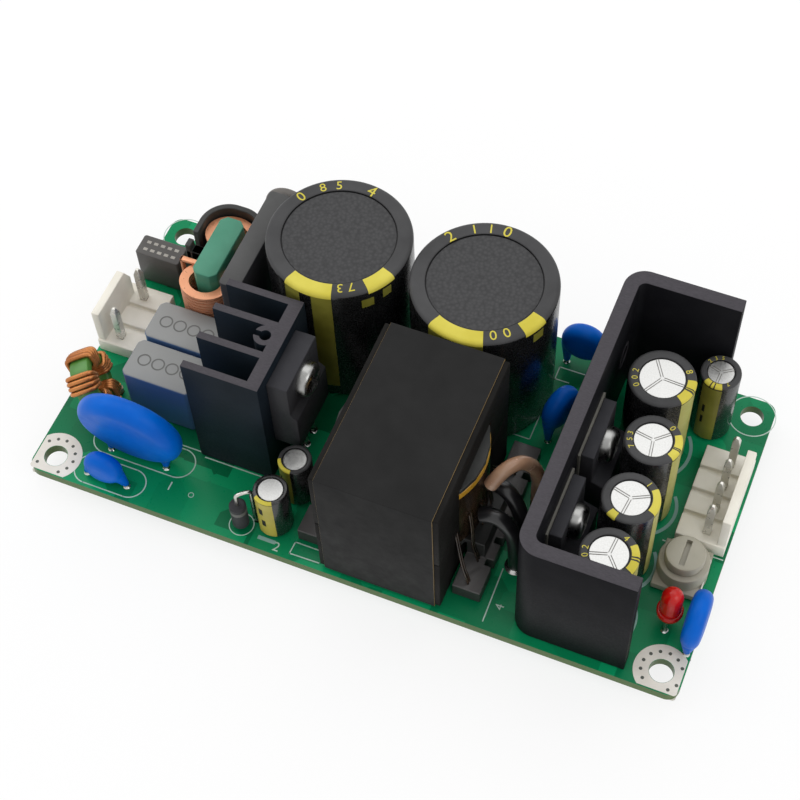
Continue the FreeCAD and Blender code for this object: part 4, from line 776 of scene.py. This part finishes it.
def flat_coil(node, middle_y, side):
    """A helix of flat wire, drawn wider along X, with its pin below and a strip down its outside."""
    low, high = span(node)
    pitch = (high.z - COIL_BOTTOM - COIL_WIRE) / COIL_TURNS
    count = int(STEPS_IN_TURN * COIL_TURNS)
    start = turned_to(0 if side > 0 else 180, "Z")
    coil = bmesh.new()
    points = [coil.verts.new(start @ Vector((radius, 0, height))) for radius, height in (
        (COIL_REACH_Y - COIL_BAND, COIL_BOTTOM), (COIL_REACH_Y, COIL_BOTTOM),
        (COIL_REACH_Y, COIL_BOTTOM + COIL_WIRE), (COIL_REACH_Y - COIL_BAND, COIL_BOTTOM + COIL_WIRE))]
    first = coil.faces.new(points)
    bmesh.ops.spin(coil, geom=[first] + list(first.edges) + points, cent=(0, 0, 0), axis=(0, 0, 1),
                   dvec=(0, 0, pitch / STEPS_IN_TURN), angle=2 * math.pi * count / STEPS_IN_TURN,
                   steps=count, use_merge=False)
    healed(coil, 0.0002)
    bmesh.ops.scale(coil, vec=(COIL_REACH_X / COIL_REACH_Y, 1.0, 1.0), verts=coil.verts)
    piece = Piece(node).add(placed(coil, at(COIL_X, middle_y)))

    strip_x = high.x - STRIP_HALF if side > 0 else low.x + STRIP_HALF
    strip_y, inward = middle_y - side * 2.4, COIL_X + side * 2.4
    pin_x, pin_y = COIL_X + side * 3.3, middle_y + side * 0.9
    left, right = strip_x - STRIP_HALF, strip_x + STRIP_HALF
    for corner, other in (
            ((left, strip_y - STRIP_WIDE, TAIL), (right, strip_y + STRIP_WIDE, high.z)),
            ((min(left, inward), strip_y - STRIP_WIDE, high.z - COIL_WIRE),
             (max(right, inward), strip_y + STRIP_WIDE, high.z)),
            ((pin_x - PIN_HALF, pin_y - PIN_HALF, TAIL),
             (pin_x + PIN_HALF, pin_y + PIN_HALF, COIL_BOTTOM + 0.2))):
        piece.add(soften(block(corner, other), 0.08))
    for x, y in ((strip_x, strip_y), (pin_x, pin_y)):
        piece.add(fillet(PIN_HALF, 0.95, 1.2, at(x, y)), "solder")
    piece.done(30)


def choke_holder():
    """The foot, the divider between the coils and a smooth half collar with a slot behind its lug."""
    wall, front, back = 0.9, 10.85, 12.35
    low, high = span("choke_holder")
    core_low, core_high = span("choke_core")
    middle, divider_top = core_low.z + 2.55, core_high.z - 2.55
    foot = copy_of("choke_holder")
    cut_off(foot, (0, 0, core_low.z), (0, 0, 1))
    piece = Piece("choke_holder").add(foot)
    for corner, other, ease in (
            ((low.x, front, low.z), (core_low.x - 0.35, back, divider_top), 0.12),
            ((low.x + wall, front, middle), (core_high.x + wall, back, divider_top), 0.12),
            ((low.x, front, low.z), (low.x + wall, back, high.z), 0.15)):
        piece.add(soften(block(corner, other), ease))

    def arc(reach_x, reach_y, start):
        corners = []
        for step in range(46):
            turn = math.radians(45 + 3 * step)
            x, y = reach_y * math.cos(turn), REAR_COIL_Y + reach_y * math.sin(turn)
            corners.append((COIL_X + x + math.copysign(reach_x - reach_y, x), y))
        return corners + [(COIL_X - reach_x, start)]

    for start, base, top in ((back + 1.3, low.z, high.z), (back, low.z, core_low.z + 2.2)):
        outline = arc(5.15, 4.55, start) + arc(5.15 - wall, 4.55 - wall, start)[::-1]
        piece.add(soften(slab(outline, base, top), 0.1, 1, 60))
    piece.done(40)


flat_coil("choke_front_coil", FRONT_COIL_Y, -1)
flat_coil("choke_rear_coil", REAR_COIL_Y, 1)
dressed("choke_core", 0.16)
choke_holder()


# Bridge rectifier and heatsinks: their top faces are painted lighter, as painted light from above.

def top_of(node):
    high = span(node)[1].z
    return lambda face: face.normal.z > 0.6 and face.calc_center_median().z > high - 0.2


# The bridge's top faces are painted lighter grey: painted light from above.
dressed("bridge_rectifier", 0.16, paint=[("bridge_top_painted_light", looks_up)])
# The heatsinks' top faces are painted lighter grey: painted light from above.
dressed("finned_heatsink", 0.1, finish="dark_fin", paint=[("edge_painted_light", top_of("finned_heatsink"))])
dressed("channel_heatsink", 0.1, paint=[("edge_painted_light", top_of("channel_heatsink"))])

# The countersunk edge of the channel's fixing hole, on its inner face, painted lighter as a painted
# highlight.
CHANNEL_WALL, CHANNEL_HOLE = 2.2, (17.5, 14.1)
hole_ring = lathe([(1.55, -0.02), (2.25, -0.02), (2.15, 0.06), (1.6, 0.06)], 48, closed=True)
inner_face = at(span("channel_heatsink")[0].x + CHANNEL_WALL, *CHANNEL_HOLE) @ turned_to(90, "Y")
Piece("channel_hole_edge", "anodised_black").add(placed(hole_ring, inner_face), "edge_painted_light").done()


# Moulded packages with their screws.

def pan_screw(face, reach):
    """A domed head with a cross recess, on a plain shank that enters along -X."""
    radius, height, shank, arm_half, arm_reach = 2.6, 1.9, 1.4, 0.42, 1.7
    dome = ((1, 0), (1, 0.42), (0.96, 0.66), (0.86, 0.84), (0.66, 0.96), (0.4, 1), (0, 1))
    screw = lathe([(0, -reach), (shank, -reach), (shank, 0)]
                  + [(radius * out, height * up) for out, up in dome], 48)
    for turn in (20, 110):
        arm = block((-arm_half, -arm_reach, 0.3 * height), (arm_half, arm_reach, 2 * height))
        screw = carved(screw, placed(arm, turned_to(turn, "Z")))
    return placed(screw, at(*face) @ turned_to(90, "Y"))


for node in ("power_transistor", "output_rectifier_rear", "output_rectifier_front"):
    dressed(node, 0.14, paint=[("package_top", looks_up)])
Piece("transistor_screw").add(pan_screw((-12.15, -6.5, 20.4), 4.9)).done(30)
Piece("rectifier_screws").add(pan_screw((30.1, 2.0, 14.7), 4.1)).add(
    pan_screw((30.1, -11.2, 14.7), 4.1)).done(30)


# Electrolytic capacitors: sleeved cans.

def sleeve_profile(radius, low, high, rim, bevel):
    """The sleeve's outline from its foot up over the shoulder to the inner edge of its rim."""
    outline = [(radius - 0.5, low), (radius - 0.12, low + 0.15), (radius, low + 0.5),
               (radius, high - bevel)]
    for step in (1, 2, 3):
        turn = math.pi / 2 * step / 4
        outline.append((radius - bevel * (1 - math.cos(turn)), high - bevel * (1 - math.sin(turn))))
    return outline + [(radius - bevel, high), (radius - rim + 0.12, high), (radius - rim, high - 0.08)]


def mark(profile, start, end, grow):
    """A printed field: a thin skin over part of the sleeve's outline, from one angle to another."""
    skin = [(radius + grow, height + grow) for radius, height in profile]
    return film(lathe(skin, max(3, int((end - start) / 4)), end - start, start), 0.02)


def can(node, rim, bevel, marks, numbers=(), stripes=(), dashes=(), scores=(), recess=0.25, top="can_metal",
        paint="yellow_stripe_in_shade", rim_finish="rim_painted_light"):
    """A sleeved can. Marks and numbers lie on its rim, stripes and dashes on its side.

    Marks, stripes and dashes run from one angle to another, and stripes and dashes from one share of
    the can's height to another. Numbers are a numeral, its angle and its height.
    """
    low, high = span(node)
    place = over_middle(low, high)
    radius = (high.y - low.y) / 2
    outline = sleeve_profile(radius, low.z, high.z, rim, bevel)
    floor_z = high.z - recess
    inner = radius - rim
    piece = Piece(node)

    def add(part, finish, turn=0, tests=()):
        piece.add(placed(part, place @ turned_to(turn, "Z")), finish, tests)

    # The rim's upward faces are painted grey: painted light falling on the shoulder.
    rim_from = high.z - bevel * 0.7
    lit_rim_faces = [(rim_finish, lambda face: face.calc_center_median().z > rim_from and face.normal.z > 0.3)]
    sleeve = [(0, low.z)] + outline + [(inner, floor_z - 0.1), (0, floor_z - 0.1)]
    lid = [(0, floor_z - 0.3), (inner - 0.06, floor_z - 0.3), (inner - 0.06, floor_z - 0.06),
           (inner - 0.2, floor_z + 0.04), (0, floor_z + 0.06)]
    groove = [(inner - 0.3, floor_z - 0.1), (inner + 0.04, floor_z - 0.1), (inner + 0.04, high.z - 0.1),
              (inner - 0.06, high.z - 0.12), (inner - 0.1, floor_z - 0.02)]
    add(lathe(sleeve, 96), None, tests=lit_rim_faces)
    add(lathe(lid, 96), top)
    add(lathe(groove, 96, closed=True), "dark_groove")
    # Each score is two darker strips on the lid: painted shade in its groove.
    for turn in scores:
        for edge in (-0.225, 0.115):
            add(block((0.2, edge, floor_z), (inner * 0.96, edge + 0.11, floor_z + 0.085)), "score_painted_shade", turn)
    shoulder = [point for point in outline if point[1] > high.z - bevel - 0.01][:-1]
    for start, end in marks:
        add(mark(shoulder, start, end, 0.03), "yellow_mark")
    for text, turn, height in numbers:
        on_top = at(0, radius - bevel / 2 - rim / 2, high.z + 0.005)
        add(placed(numeral(text, height), on_top), "yellow_mark", turn - 90)
    # Stripes carry the rim's yellow print down the side in darker copies, as painted shade; dashes are dark
    # print.
    for fields, finish, grow in ((stripes, paint, 0.02), (dashes, "dark_groove", 0.04)):
        for start, end, base, head in fields:
            side = [(radius, low.z + (high.z - low.z) * share) for share in (base, head)]
            add(mark(side, start, end, grow), finish)
    piece.done(30)


can("bulk_capacitor_left", 2.3, 0.75, [(-113, -73), (-44, -20)],
    [("0", 150, 1.7), ("8", 128, 1.5), ("5", 113, 1.5), ("4", 82, 1.9), ("3", -66, 1.5), ("7", -56, 1.5)],
    [(-113, -99, 0.1, 0.97), (-89, -73, 0.1, 0.97), (-50, -40, 0.86, 0.93), (-32, -24, 0.88, 0.95)],
    recess=0.3, top="pebbled_disc")
can("bulk_capacitor_right", 2.3, 0.75, [(-116, -70.5), (-37, -17)],
    [("2", 143, 1.9), ("1", 120, 1.6), ("1", 105, 1.6), ("0", 90, 1.9), ("0", -62, 1.6), ("0", -50, 1.6)],
    [(-116, -100, 0.1, 0.97), (-90, -70.5, 0.1, 0.97), (-30, -20, 0.88, 0.95)],
    recess=0.3, top="pebbled_disc")
can("output_capacitor_rear", 1.45, 0.5, [(-39, -13), (-9, -7.5), (-5, 14)],
    [("8", 35, 1.0), ("2", -178, 0.9), ("0", -160, 0.9), ("0", -142, 0.9)],
    [(-39, -2, 0.03, 0.96)], scores=(121, -3, -121), paint="pale_stripe_in_shade")
can("output_capacitor_centre", 1.23, 0.45, [(-32, -10), (-7, -6), (-3, 31)],
    [("0", 53, 0.9), ("3", -178, 0.8), ("5", -160, 0.8), ("7", -140, 0.8)],
    [(-32, 6, 0.03, 0.96)], scores=(170, 42, -82), paint="pale_stripe_in_shade")
can("output_capacitor_front", 1.23, 0.45, [(-21, 40), (-124, -104)], [("1", 58, 0.9)],
    [(-22, 14, 0.03, 0.96)], scores=(165, 27, -97), paint="pale_stripe_in_shade")
can("output_capacitor_corner", 1.23, 0.45, [(-25, 2), (6, 9), (13, 41)],
    [("4", 64, 0.9), ("2", -176, 0.9), ("0", -155, 0.9)],
    [(-25, 12, 0.03, 0.96)], scores=(85, -163, -50), paint="pale_stripe_in_shade")
can("filter_capacitor", 0.9, 0.4, [(-128, -108), (-104, -96), (-92, -71)],
    [("7", -50, 0.6), ("2", 150, 0.6), ("3", 125, 0.6), ("5", 100, 0.6)],
    [(-130, -70, 0.03, 0.95)], [(-116, -108, 0.5, 0.62), (-116, -108, 0.3, 0.42)], scores=(163, 34, -93))
can("start_capacitor_front", 0.6, 0.35, [(-129, -62)], stripes=[(-129, -62, 0.04, 0.95)],
    dashes=[(-112, -98, 0.62, 0.78), (-107, -93, 0.3, 0.46)], paint="gold_stripe_in_shade", rim_finish="can_sleeve")
can("start_capacitor_rear", 0.6, 0.35, [(-160, -84)], stripes=[(-160, -84, 0.04, 0.95)],
    dashes=[(-131, -119, 0.6, 0.76)])


# Transformer: ferrite halves, black tape, a bobbin and its windings.

TRANSFORMER_X, TRANSFORMER_Y = 6.4, -11.3
BOBBIN_TUBE, TAPE_WALL, TAPE_BAND, DARK_TURNS, BARE_TURNS = 7.2, 0.28, 1.2, 16, 24
RAIL_X, RAIL_TOP, RAIL_PINS, FIRST_PIN_Y, PIN_PITCH = 18.3, 4.4, 6, -20.8, 3.81


def windings():
    """The taped winding: a yellow band at its top and dark turns below, and bare turns just inside it."""
    low, high = span("winding_tape")
    place = at(TRANSFORMER_X, TRANSFORMER_Y)
    outer = (high.x - low.x) / 2
    inner, edge = outer - TAPE_WALL, high.z - TAPE_BAND
    band = [(inner, edge), (outer, edge), (outer, high.z - 0.1), (outer - 0.08, high.z), (inner, high.z)]
    dark_turns, pitch = [(inner, low.z)], (edge - low.z) / DARK_TURNS
    for step in range(DARK_TURNS):
        base = low.z + pitch * step
        dark_turns += [(outer - 0.22, base + 0.02), (outer - 0.02, base + pitch / 2)]
    dark_turns += [(outer - 0.22, edge - 0.01), (inner, edge - 0.01)]
    tape = Piece("winding_tape").add(placed(lathe(band, 96, closed=True), place))
    tape.add(placed(lathe(dark_turns, 96, closed=True), place), "dark_wire").done(60)
    reach = inner - 0.02
    bare_turns, pitch = [(BOBBIN_TUBE, low.z)], (high.z - low.z) / BARE_TURNS
    for step in range(BARE_TURNS):
        base = low.z + pitch * step
        bare_turns += [(reach - 0.2, base), (reach, base + pitch / 2)]
    bare_turns += [(reach - 0.2, high.z), (BOBBIN_TUBE, high.z)]
    Piece("transformer_winding").add(placed(lathe(bare_turns, 64, closed=True), place)).done(60)


def winding_ends():
    """Thin enamelled ends that come out below the tape and go down in pairs to the right rail's pins."""
    reach = 11.0
    ends = Piece("winding_ends", "enamelled_copper")
    for step in range(RAIL_PINS):
        pin_y = FIRST_PIN_Y + PIN_PITCH * step
        out = math.radians(-38 + 15 * step)
        x, y = TRANSFORMER_X + reach * math.cos(out), TRANSFORMER_Y + reach * math.sin(out)
        z = 15.5 - 0.9 * step
        route = [(x, y, z), (x + 0.5, y - 0.3, z - 3.0), (RAIL_X - 0.9, pin_y + 0.3, RAIL_TOP + 3.2),
                 (RAIL_X, pin_y, RAIL_TOP + 0.9), (RAIL_X + 0.1, pin_y, RAIL_TOP - 0.2)]
        for offset in (0.0, 0.5):
            beside = [(x, y + offset, z) for x, y, z in route]
            ends.add(tube(beside, 0.18, kind="NURBS", sides=8), "dark_wire")
    ends.done(60)


dressed("transformer_lower_core", 0.2)
dressed("transformer_upper_core", 0.2)
dressed("core_tape", 0.3, 3, paint=[("tape_edge", lambda face: abs(face.normal.x) > 0.7)])
# The rails' upward faces are painted lighter grey: painted light.
dressed("transformer_bobbin", 0.1, 1, paint=[
    ("rail_tops_painted_light", lambda face: face.calc_center_median().z < RAIL_TOP + 0.1 and face.normal.z > 0.5)])
windings()
winding_ends()


# Sleeved leads: they leave the winding, bend over and go down through the board.
# Each bend is given as shares: of their reach away from the winding and to its side, and of their rise.

LEADS_FROM = Vector((17.25, TRANSFORMER_Y, BOARD_TOP))
LEADS_REACH = 5.9
CLEAR_RISE, CLEAR_RADIUS = 18.6, 1.05
BLACK_RISE, BLACK_RADIUS = 13.4, 1.15
CLEAR_BENDS = [(0.14, -0.03, 0.84), (0.3, 0.12, 0.96), (0.6, 0.5, 1.0), (0.88, 0.8, 0.86), (1.0, 1.0, 0.6),
               (1.0, 1.0, 0.3), (1.0, 1.0, 0.02)]
BLACK_BENDS = [
    [(0.1, 0.31, 0.94), (0.4, 0.24, 1.0), (0.8, 0.06, 0.86), (1.0, -0.03, 0.55), (1.0, -0.03, 0.03)],
    [(0.1, -0.49, 0.86), (0.4, -0.46, 0.93), (0.8, -0.49, 0.8), (1.0, -0.51, 0.5), (1.0, -0.51, 0.03)],
]


def sleeved(bends, rise, radius):
    route = [LEADS_FROM + Vector((LEADS_REACH * x, LEADS_REACH * y, rise * z)) for x, y, z in bends]
    return tube(route, radius, kind="NURBS", sides=20, fineness=10), at(route[-1].x, route[-1].y)


Piece("clear_sleeved_lead").add(sleeved(CLEAR_BENDS, CLEAR_RISE, CLEAR_RADIUS)[0]).done(60)
black_leads = Piece("black_sleeved_leads")
for bends in BLACK_BENDS:
    lead, foot = sleeved(bends, BLACK_RISE, BLACK_RADIUS)
    black_leads.add(lead).add(fillet(0.5, 1.6, 0.8, foot, over=True), "solder")
black_leads.done(60)


# Upright diode with its looped wire.

def diode():
    low, high = span("upright_diode")
    middle = (low + high) / 2
    place = at(middle.x, middle.y)
    radius, ease, band = (high.y - low.y) / 2, 0.25, high.z - 1.7
    body = lathe([(0, low.z), (radius - ease, low.z), (radius, low.z + ease), (radius, high.z - ease),
                  (radius - ease, high.z), (0, high.z)], 40)
    ring = film(lathe([(radius + 0.01, band), (radius + 0.01, band + 0.8)], 40), 0.015)
    Piece("upright_diode").add(placed(body, place)).add(placed(ring, place), "dark_mark").done()
    wire_low, wire_high = span("diode_wire")
    far = wire_high - Vector((LEAD_RADIUS, LEAD_RADIUS, LEAD_RADIUS))
    heights = [high.z, far.z - 0.9, far.z + 0.25], [far.z + 0.25, far.z - 0.9, wire_low.z]
    route = [(middle.x, middle.y, z) for z in heights[0]] + [(far.x, far.y, z) for z in heights[1]]
    Piece("diode_wire").add(tube(route, LEAD_RADIUS, kind="NURBS")).done(60)


diode()


# Trimmer and indicator.

def trimmer():
    """A round body on a square plate with two clips, and a slotted rotor that turns in its bore."""
    low, high = span("trimmer_body")
    place = over_middle(low, high)
    round_reach, bore = 3.7, 1.6
    cap = lathe([(0, low.z), (round_reach, low.z), (round_reach, high.z - 0.35),
                 (round_reach - 0.1, high.z - 0.12), (round_reach - 0.35, high.z), (bore, high.z),
                 (bore, high.z - 1.2), (0, high.z - 1.2)], 72)
    plate = soften(block((-3.5, -3.9, low.z), (3.5, 3.9, low.z + 1.3)), 0.2)
    body = Piece("trimmer_body").add(placed(cap, place)).add(placed(plate, place))
    for y in (-2.3, 0.9):
        clip = [(3.42, y, low.z + 0.3), (3.42, y, low.z + 1.5), (3.42, y + 1.5, low.z + 1.5),
                (3.42, y + 1.5, low.z + 0.3)]
        body.add(placed(tube(clip, 0.16, sides=8), place), "tinned_wire")
    body.done()
    low, high = span("trimmer_rotor")
    under_cap, shaft_radius, cap_radius = low.z + 1.2, 1.3, 2.9
    shaft = lathe([(0, low.z), (shaft_radius, low.z), (shaft_radius, under_cap), (cap_radius, under_cap),
                   (cap_radius, high.z - 0.3), (cap_radius - 0.15, high.z - 0.08),
                   (cap_radius - 0.4, high.z), (0, high.z)], 72)
    slot = block((-0.4, -2.1, high.z - 0.8), (0.4, 2.1, high.z + 1))
    Piece("trimmer_rotor").add(placed(carved(shaft, slot), place)).done()


def indicator():
    low, high = span("indicator_led")
    lens, flange = 1.55, 1.88
    dome = [(0, low.z), (1.8, low.z), (flange, low.z + 0.08), (flange, low.z + 0.92), (1.8, low.z + 1.0),
            (lens, low.z + 1.0)]
    for step in range(9):
        turn = math.pi / 2 * step / 9
        dome.append((lens * math.cos(turn), high.z - lens + lens * math.sin(turn)))
    Piece("indicator_led").add(placed(lathe(dome + [(0, high.z)], 48), over_middle(low, high))).done(50)


trimmer()
indicator()


# The board's silver pads and its print.

INK, LINE_WIDTH = 0.03, 0.18
PAD_RADIUS, PAD_THICKNESS = 4.0, 0.035
VIAS, VIA_CIRCLE, VIA_RADIUS = 13, 2.9, 0.26
PAD_EDGES = (((50.6, 0, 0), (1, 0, 0)), ((-50.6, 0, 0), (-1, 0, 0)), ((0, -25.2, 0), (0, -1, 0)))


def line(*points):
    """Straight printed lines from corner to corner."""
    parts = []
    for (ax, ay), (bx, by) in zip(points, points[1:]):
        reach = (math.hypot(bx - ax, by - ay) + LINE_WIDTH) / 2
        bar = block((-reach, -LINE_WIDTH / 2, 0.0), (reach, LINE_WIDTH / 2, INK))
        turn = turned_to(math.degrees(math.atan2(by - ay, bx - ax)), "Z")
        parts.append(placed(bar, at((ax + bx) / 2, (ay + by) / 2, BOARD_TOP) @ turn))
    return parts


def ring_print(x, y, radius, width, sweep=360.0, start=0.0):
    edge = [(radius - width, 0.0), (radius, 0.0), (radius, INK), (radius - width, INK)]
    return placed(lathe(edge, 64, sweep, start, closed=True), at(x, y, BOARD_TOP))


def stadium(left, right, y, radius):
    """A printed outline with straight sides and round ends."""
    left, right = left + radius, right - radius
    outline = line((left, y - radius), (right, y - radius)) + line((left, y + radius), (right, y + radius))
    for x, start in ((left, 90), (right, -90)):
        outline.append(ring_print(x, y, radius + LINE_WIDTH / 2, LINE_WIDTH, 180, start))
    return outline


def front_pads():
    """Silver pads round the front holes, on both sides of the board, with small plated holes."""
    pads = Piece("board_pads", "tinned_wire")
    inner = HOLE_RADIUS + 0.05
    for x in (-HOLE_X, HOLE_X):
        for base, top in ((BOARD_TOP, BOARD_TOP + PAD_THICKNESS), (-PAD_THICKNESS, 0.0)):
            edge = [(inner, base), (PAD_RADIUS, base), (PAD_RADIUS, top), (inner, top)]
            ring = placed(lathe(edge, 96, closed=True), at(x, -HOLE_Y))
            for point, away in PAD_EDGES:
                cut_off(ring, point, away)
            pads.add(healed(ring), "silver_pad")
        for step in range(VIAS):
            turn = 2 * math.pi * step / VIAS
            via_x, via_y = x + VIA_CIRCLE * math.cos(turn), VIA_CIRCLE * math.sin(turn) - HOLE_Y
            if abs(via_x) < 50.3 and via_y > -24.9:
                via = [(0, PAD_THICKNESS - 0.005), (VIA_RADIUS, PAD_THICKNESS - 0.005),
                       (VIA_RADIUS, PAD_THICKNESS + 0.01), (0, PAD_THICKNESS + 0.01)]
                pads.add(placed(lathe(via, 12), at(via_x, via_y, BOARD_TOP)), "via_dark")
    pads.done()


def board_print():
    """Outlines of the parts, plain numerals, and paler arcs beside the output capacitors."""
    print_parts = [ring_print(-HOLE_X, HOLE_Y, 3.6, 0.16), ring_print(HOLE_X, HOLE_Y, 3.6, 0.16)]
    print_parts += line((-3.4, -24.3), (-8.0, -24.4), (-7.9, -22.4), (-3.4, -22.4))
    print_parts += stadium(-43.8, -27.2, -16.6, 2.5) + stadium(-44.1, -32.6, -22.4, 2.4)
    print_parts += line((-31.2, -13.6), (-26.6, -13.6)) + line((-26.4, -14.25), (-12.0, -14.25))
    print_parts += line((22.5, 20.2), (17.7, 20.2), (17.7, 17.9), (19.9, 17.9))
    print_parts += line((17.8, 12.1), (17.8, 6.3), (14.8, 6.3)) + line((21.7, -15.5), (21.9, -24.2))
    print_parts += line((41.6, -2.7), (50.5, -2.7))
    print_parts += [ring_print(-16.5, -22.6, 1.9, 0.14), ring_print(-25.6, -20.9, 0.45, 0.12)]
    for text, height, x, y, turn in (("2", 1.5, -10.2, -24.2, 0), ("1", 1.5, -29.2, -20.7, 0),
                                     ("8", 1.3, 40.0, -21.0, 90), ("4", 1.3, 23.4, -21.3, 90)):
        place = at(x, y, BOARD_TOP + INK / 2) @ turned_to(turn, "Z")
        print_parts.append(placed(numeral(text, height, INK), place))
    ink = Piece("board_print", "board_green")
    for part in print_parts:
        ink.add(part, "white_print")
    for x, y, radius in ((35.0, 12.0, 6.2), (36.9, 1.9, 5.3), (36.9, -7.9, 5.3), (36.9, -17.0, 5.3)):
        ink.add(ring_print(x, y, radius, 0.5, 110, -75), "pale_print")
    ink.add(block((-13.4, -23.9, BOARD_TOP), (-10.6, -23.3, BOARD_TOP + INK)), "pale_print")
    ink.done()


front_pads()
board_print()


# Underside: chips with tinned legs and resistors with tinned ends.

def chip(node, legs_from):
    low, high = span(node)
    middle_y = (low.y + high.y) / 2
    dressed(node, 0.06, 1, paint=[
        ("tinned_wire", lambda face: abs(face.calc_center_median().y - middle_y) > legs_from)])


def chip_resistors():
    end = 0.4
    piece = Piece("chip_resistors")
    for low, high in islands("chip_resistors"):
        for left, right, finish, inset in ((low.x, low.x + end, "solder", 0.0),
                                           (low.x + end, high.x - end, "chip_ceramic", 0.03),
                                           (high.x - end, high.x, "solder", 0.0)):
            body = block((left, low.y + inset, low.z + inset), (right, high.y - inset, high.z))
            piece.add(soften(body, 0.04, 1), finish)
    piece.done()


chip("control_chip", 2.0)
chip("optocoupler", 3.25)
chip_resistors()


# Floor, light and camera.

def seen_directly(tree):
    """1 where the camera sees a surface, by itself or in a mirror or through glass."""
    path = shader_node(tree, "LightPath").outputs
    seen = path["Is Camera Ray"]
    for name in ("Is Glossy Ray", "Is Transmission Ray"):
        seen = shader_node(tree, "Math", {0: seen, 1: path[name]}, operation="MAXIMUM").outputs["Value"]
    return seen


def floor():
    """A plain pale sheet that keeps the object's shadow and glows to white where nothing shades it."""
    sheet = bmesh.new()
    bmesh.ops.create_grid(sheet, x_segments=1, y_segments=1, size=1.5)
    bmesh.ops.translate(sheet, verts=sheet.verts, vec=(0, 0, cad_box[0].z - 0.0001))
    item = stood(sheet)
    item.name = "floor"
    paint = bpy.data.materials.new("floor_paint")
    paint.use_nodes = True
    tree = paint.node_tree
    shader = tree.nodes["Principled BSDF"]
    shader.inputs["Base Color"].default_value = tone(250, 250, 250)
    shader.inputs["Roughness"].default_value = 0.9
    share = shader_node(tree, "Math", {0: seen_directly(tree), 1: 0.8}, operation="MULTIPLY")
    glow = shader_node(tree, "Emission")
    mix = shader_node(tree, "MixShader", {"Fac": share.outputs["Value"], 1: shader.outputs["BSDF"],
                                          2: glow.outputs["Emission"]})
    feed(tree, tree.nodes["Material Output"].inputs["Surface"], mix.outputs["Shader"])
    item.data.materials.append(paint)


def studio(strength):
    """A white backdrop that lights the object only as strongly as asked."""
    world = bpy.data.worlds.new("studio")
    bpy.context.scene.world = world
    world.use_nodes = True
    tree = world.node_tree
    soft = tree.nodes["Background"]
    soft.inputs["Color"].default_value = (1, 1, 1, 1)
    soft.inputs["Strength"].default_value = strength
    white = shader_node(tree, "Background", {"Color": (1, 1, 1, 1)})
    mix = shader_node(tree, "MixShader", {"Fac": seen_directly(tree), 1: soft.outputs["Background"],
                                          2: white.outputs["Background"]})
    feed(tree, tree.nodes["World Output"].inputs["Surface"], mix.outputs["Shader"])


def lamp(name, place, size, power):
    """A soft square lamp that shines at the object's middle."""
    data = bpy.data.lights.new(name, "AREA")
    data.shape = "SQUARE"
    data.size = size
    data.energy = power
    item = bpy.data.objects.new(name, data)
    item.location = place
    item.rotation_euler = (-Vector(place)).to_track_quat("-Z", "Y").to_euler()
    bpy.context.scene.collection.objects.link(item)


floor()
studio(0.72)
lamp("soft_left", (-0.45, 0.1, 0.5), 0.5, 1.0)
lamp("soft_right", (0.45, -0.15, 0.45), 0.4, 0.7)
lamp("soft_top", (0.0, 0.3, 0.6), 0.5, 0.7)

camera_data = bpy.data.cameras.new("camera")
camera_data.lens = 78.76
camera_data.sensor_width = 36.0
camera_data.clip_start = 0.01
camera_data.clip_end = 10.0
camera = bpy.data.objects.new("camera", camera_data)
bpy.context.scene.collection.objects.link(camera)
right = Vector((0.92472, 0.37937, -0.03127))
ahead = Vector((-0.22708, 0.48383, -0.84519))
turn = Matrix((right, right.cross(ahead), -ahead)).transposed().to_4x4()
camera.matrix_world = Matrix.Translation(Vector((57.70, -123.62, 227.55)) * MM) @ turn
bpy.context.scene.camera = camera
bpy.context.scene.view_settings.view_transform = "Standard"
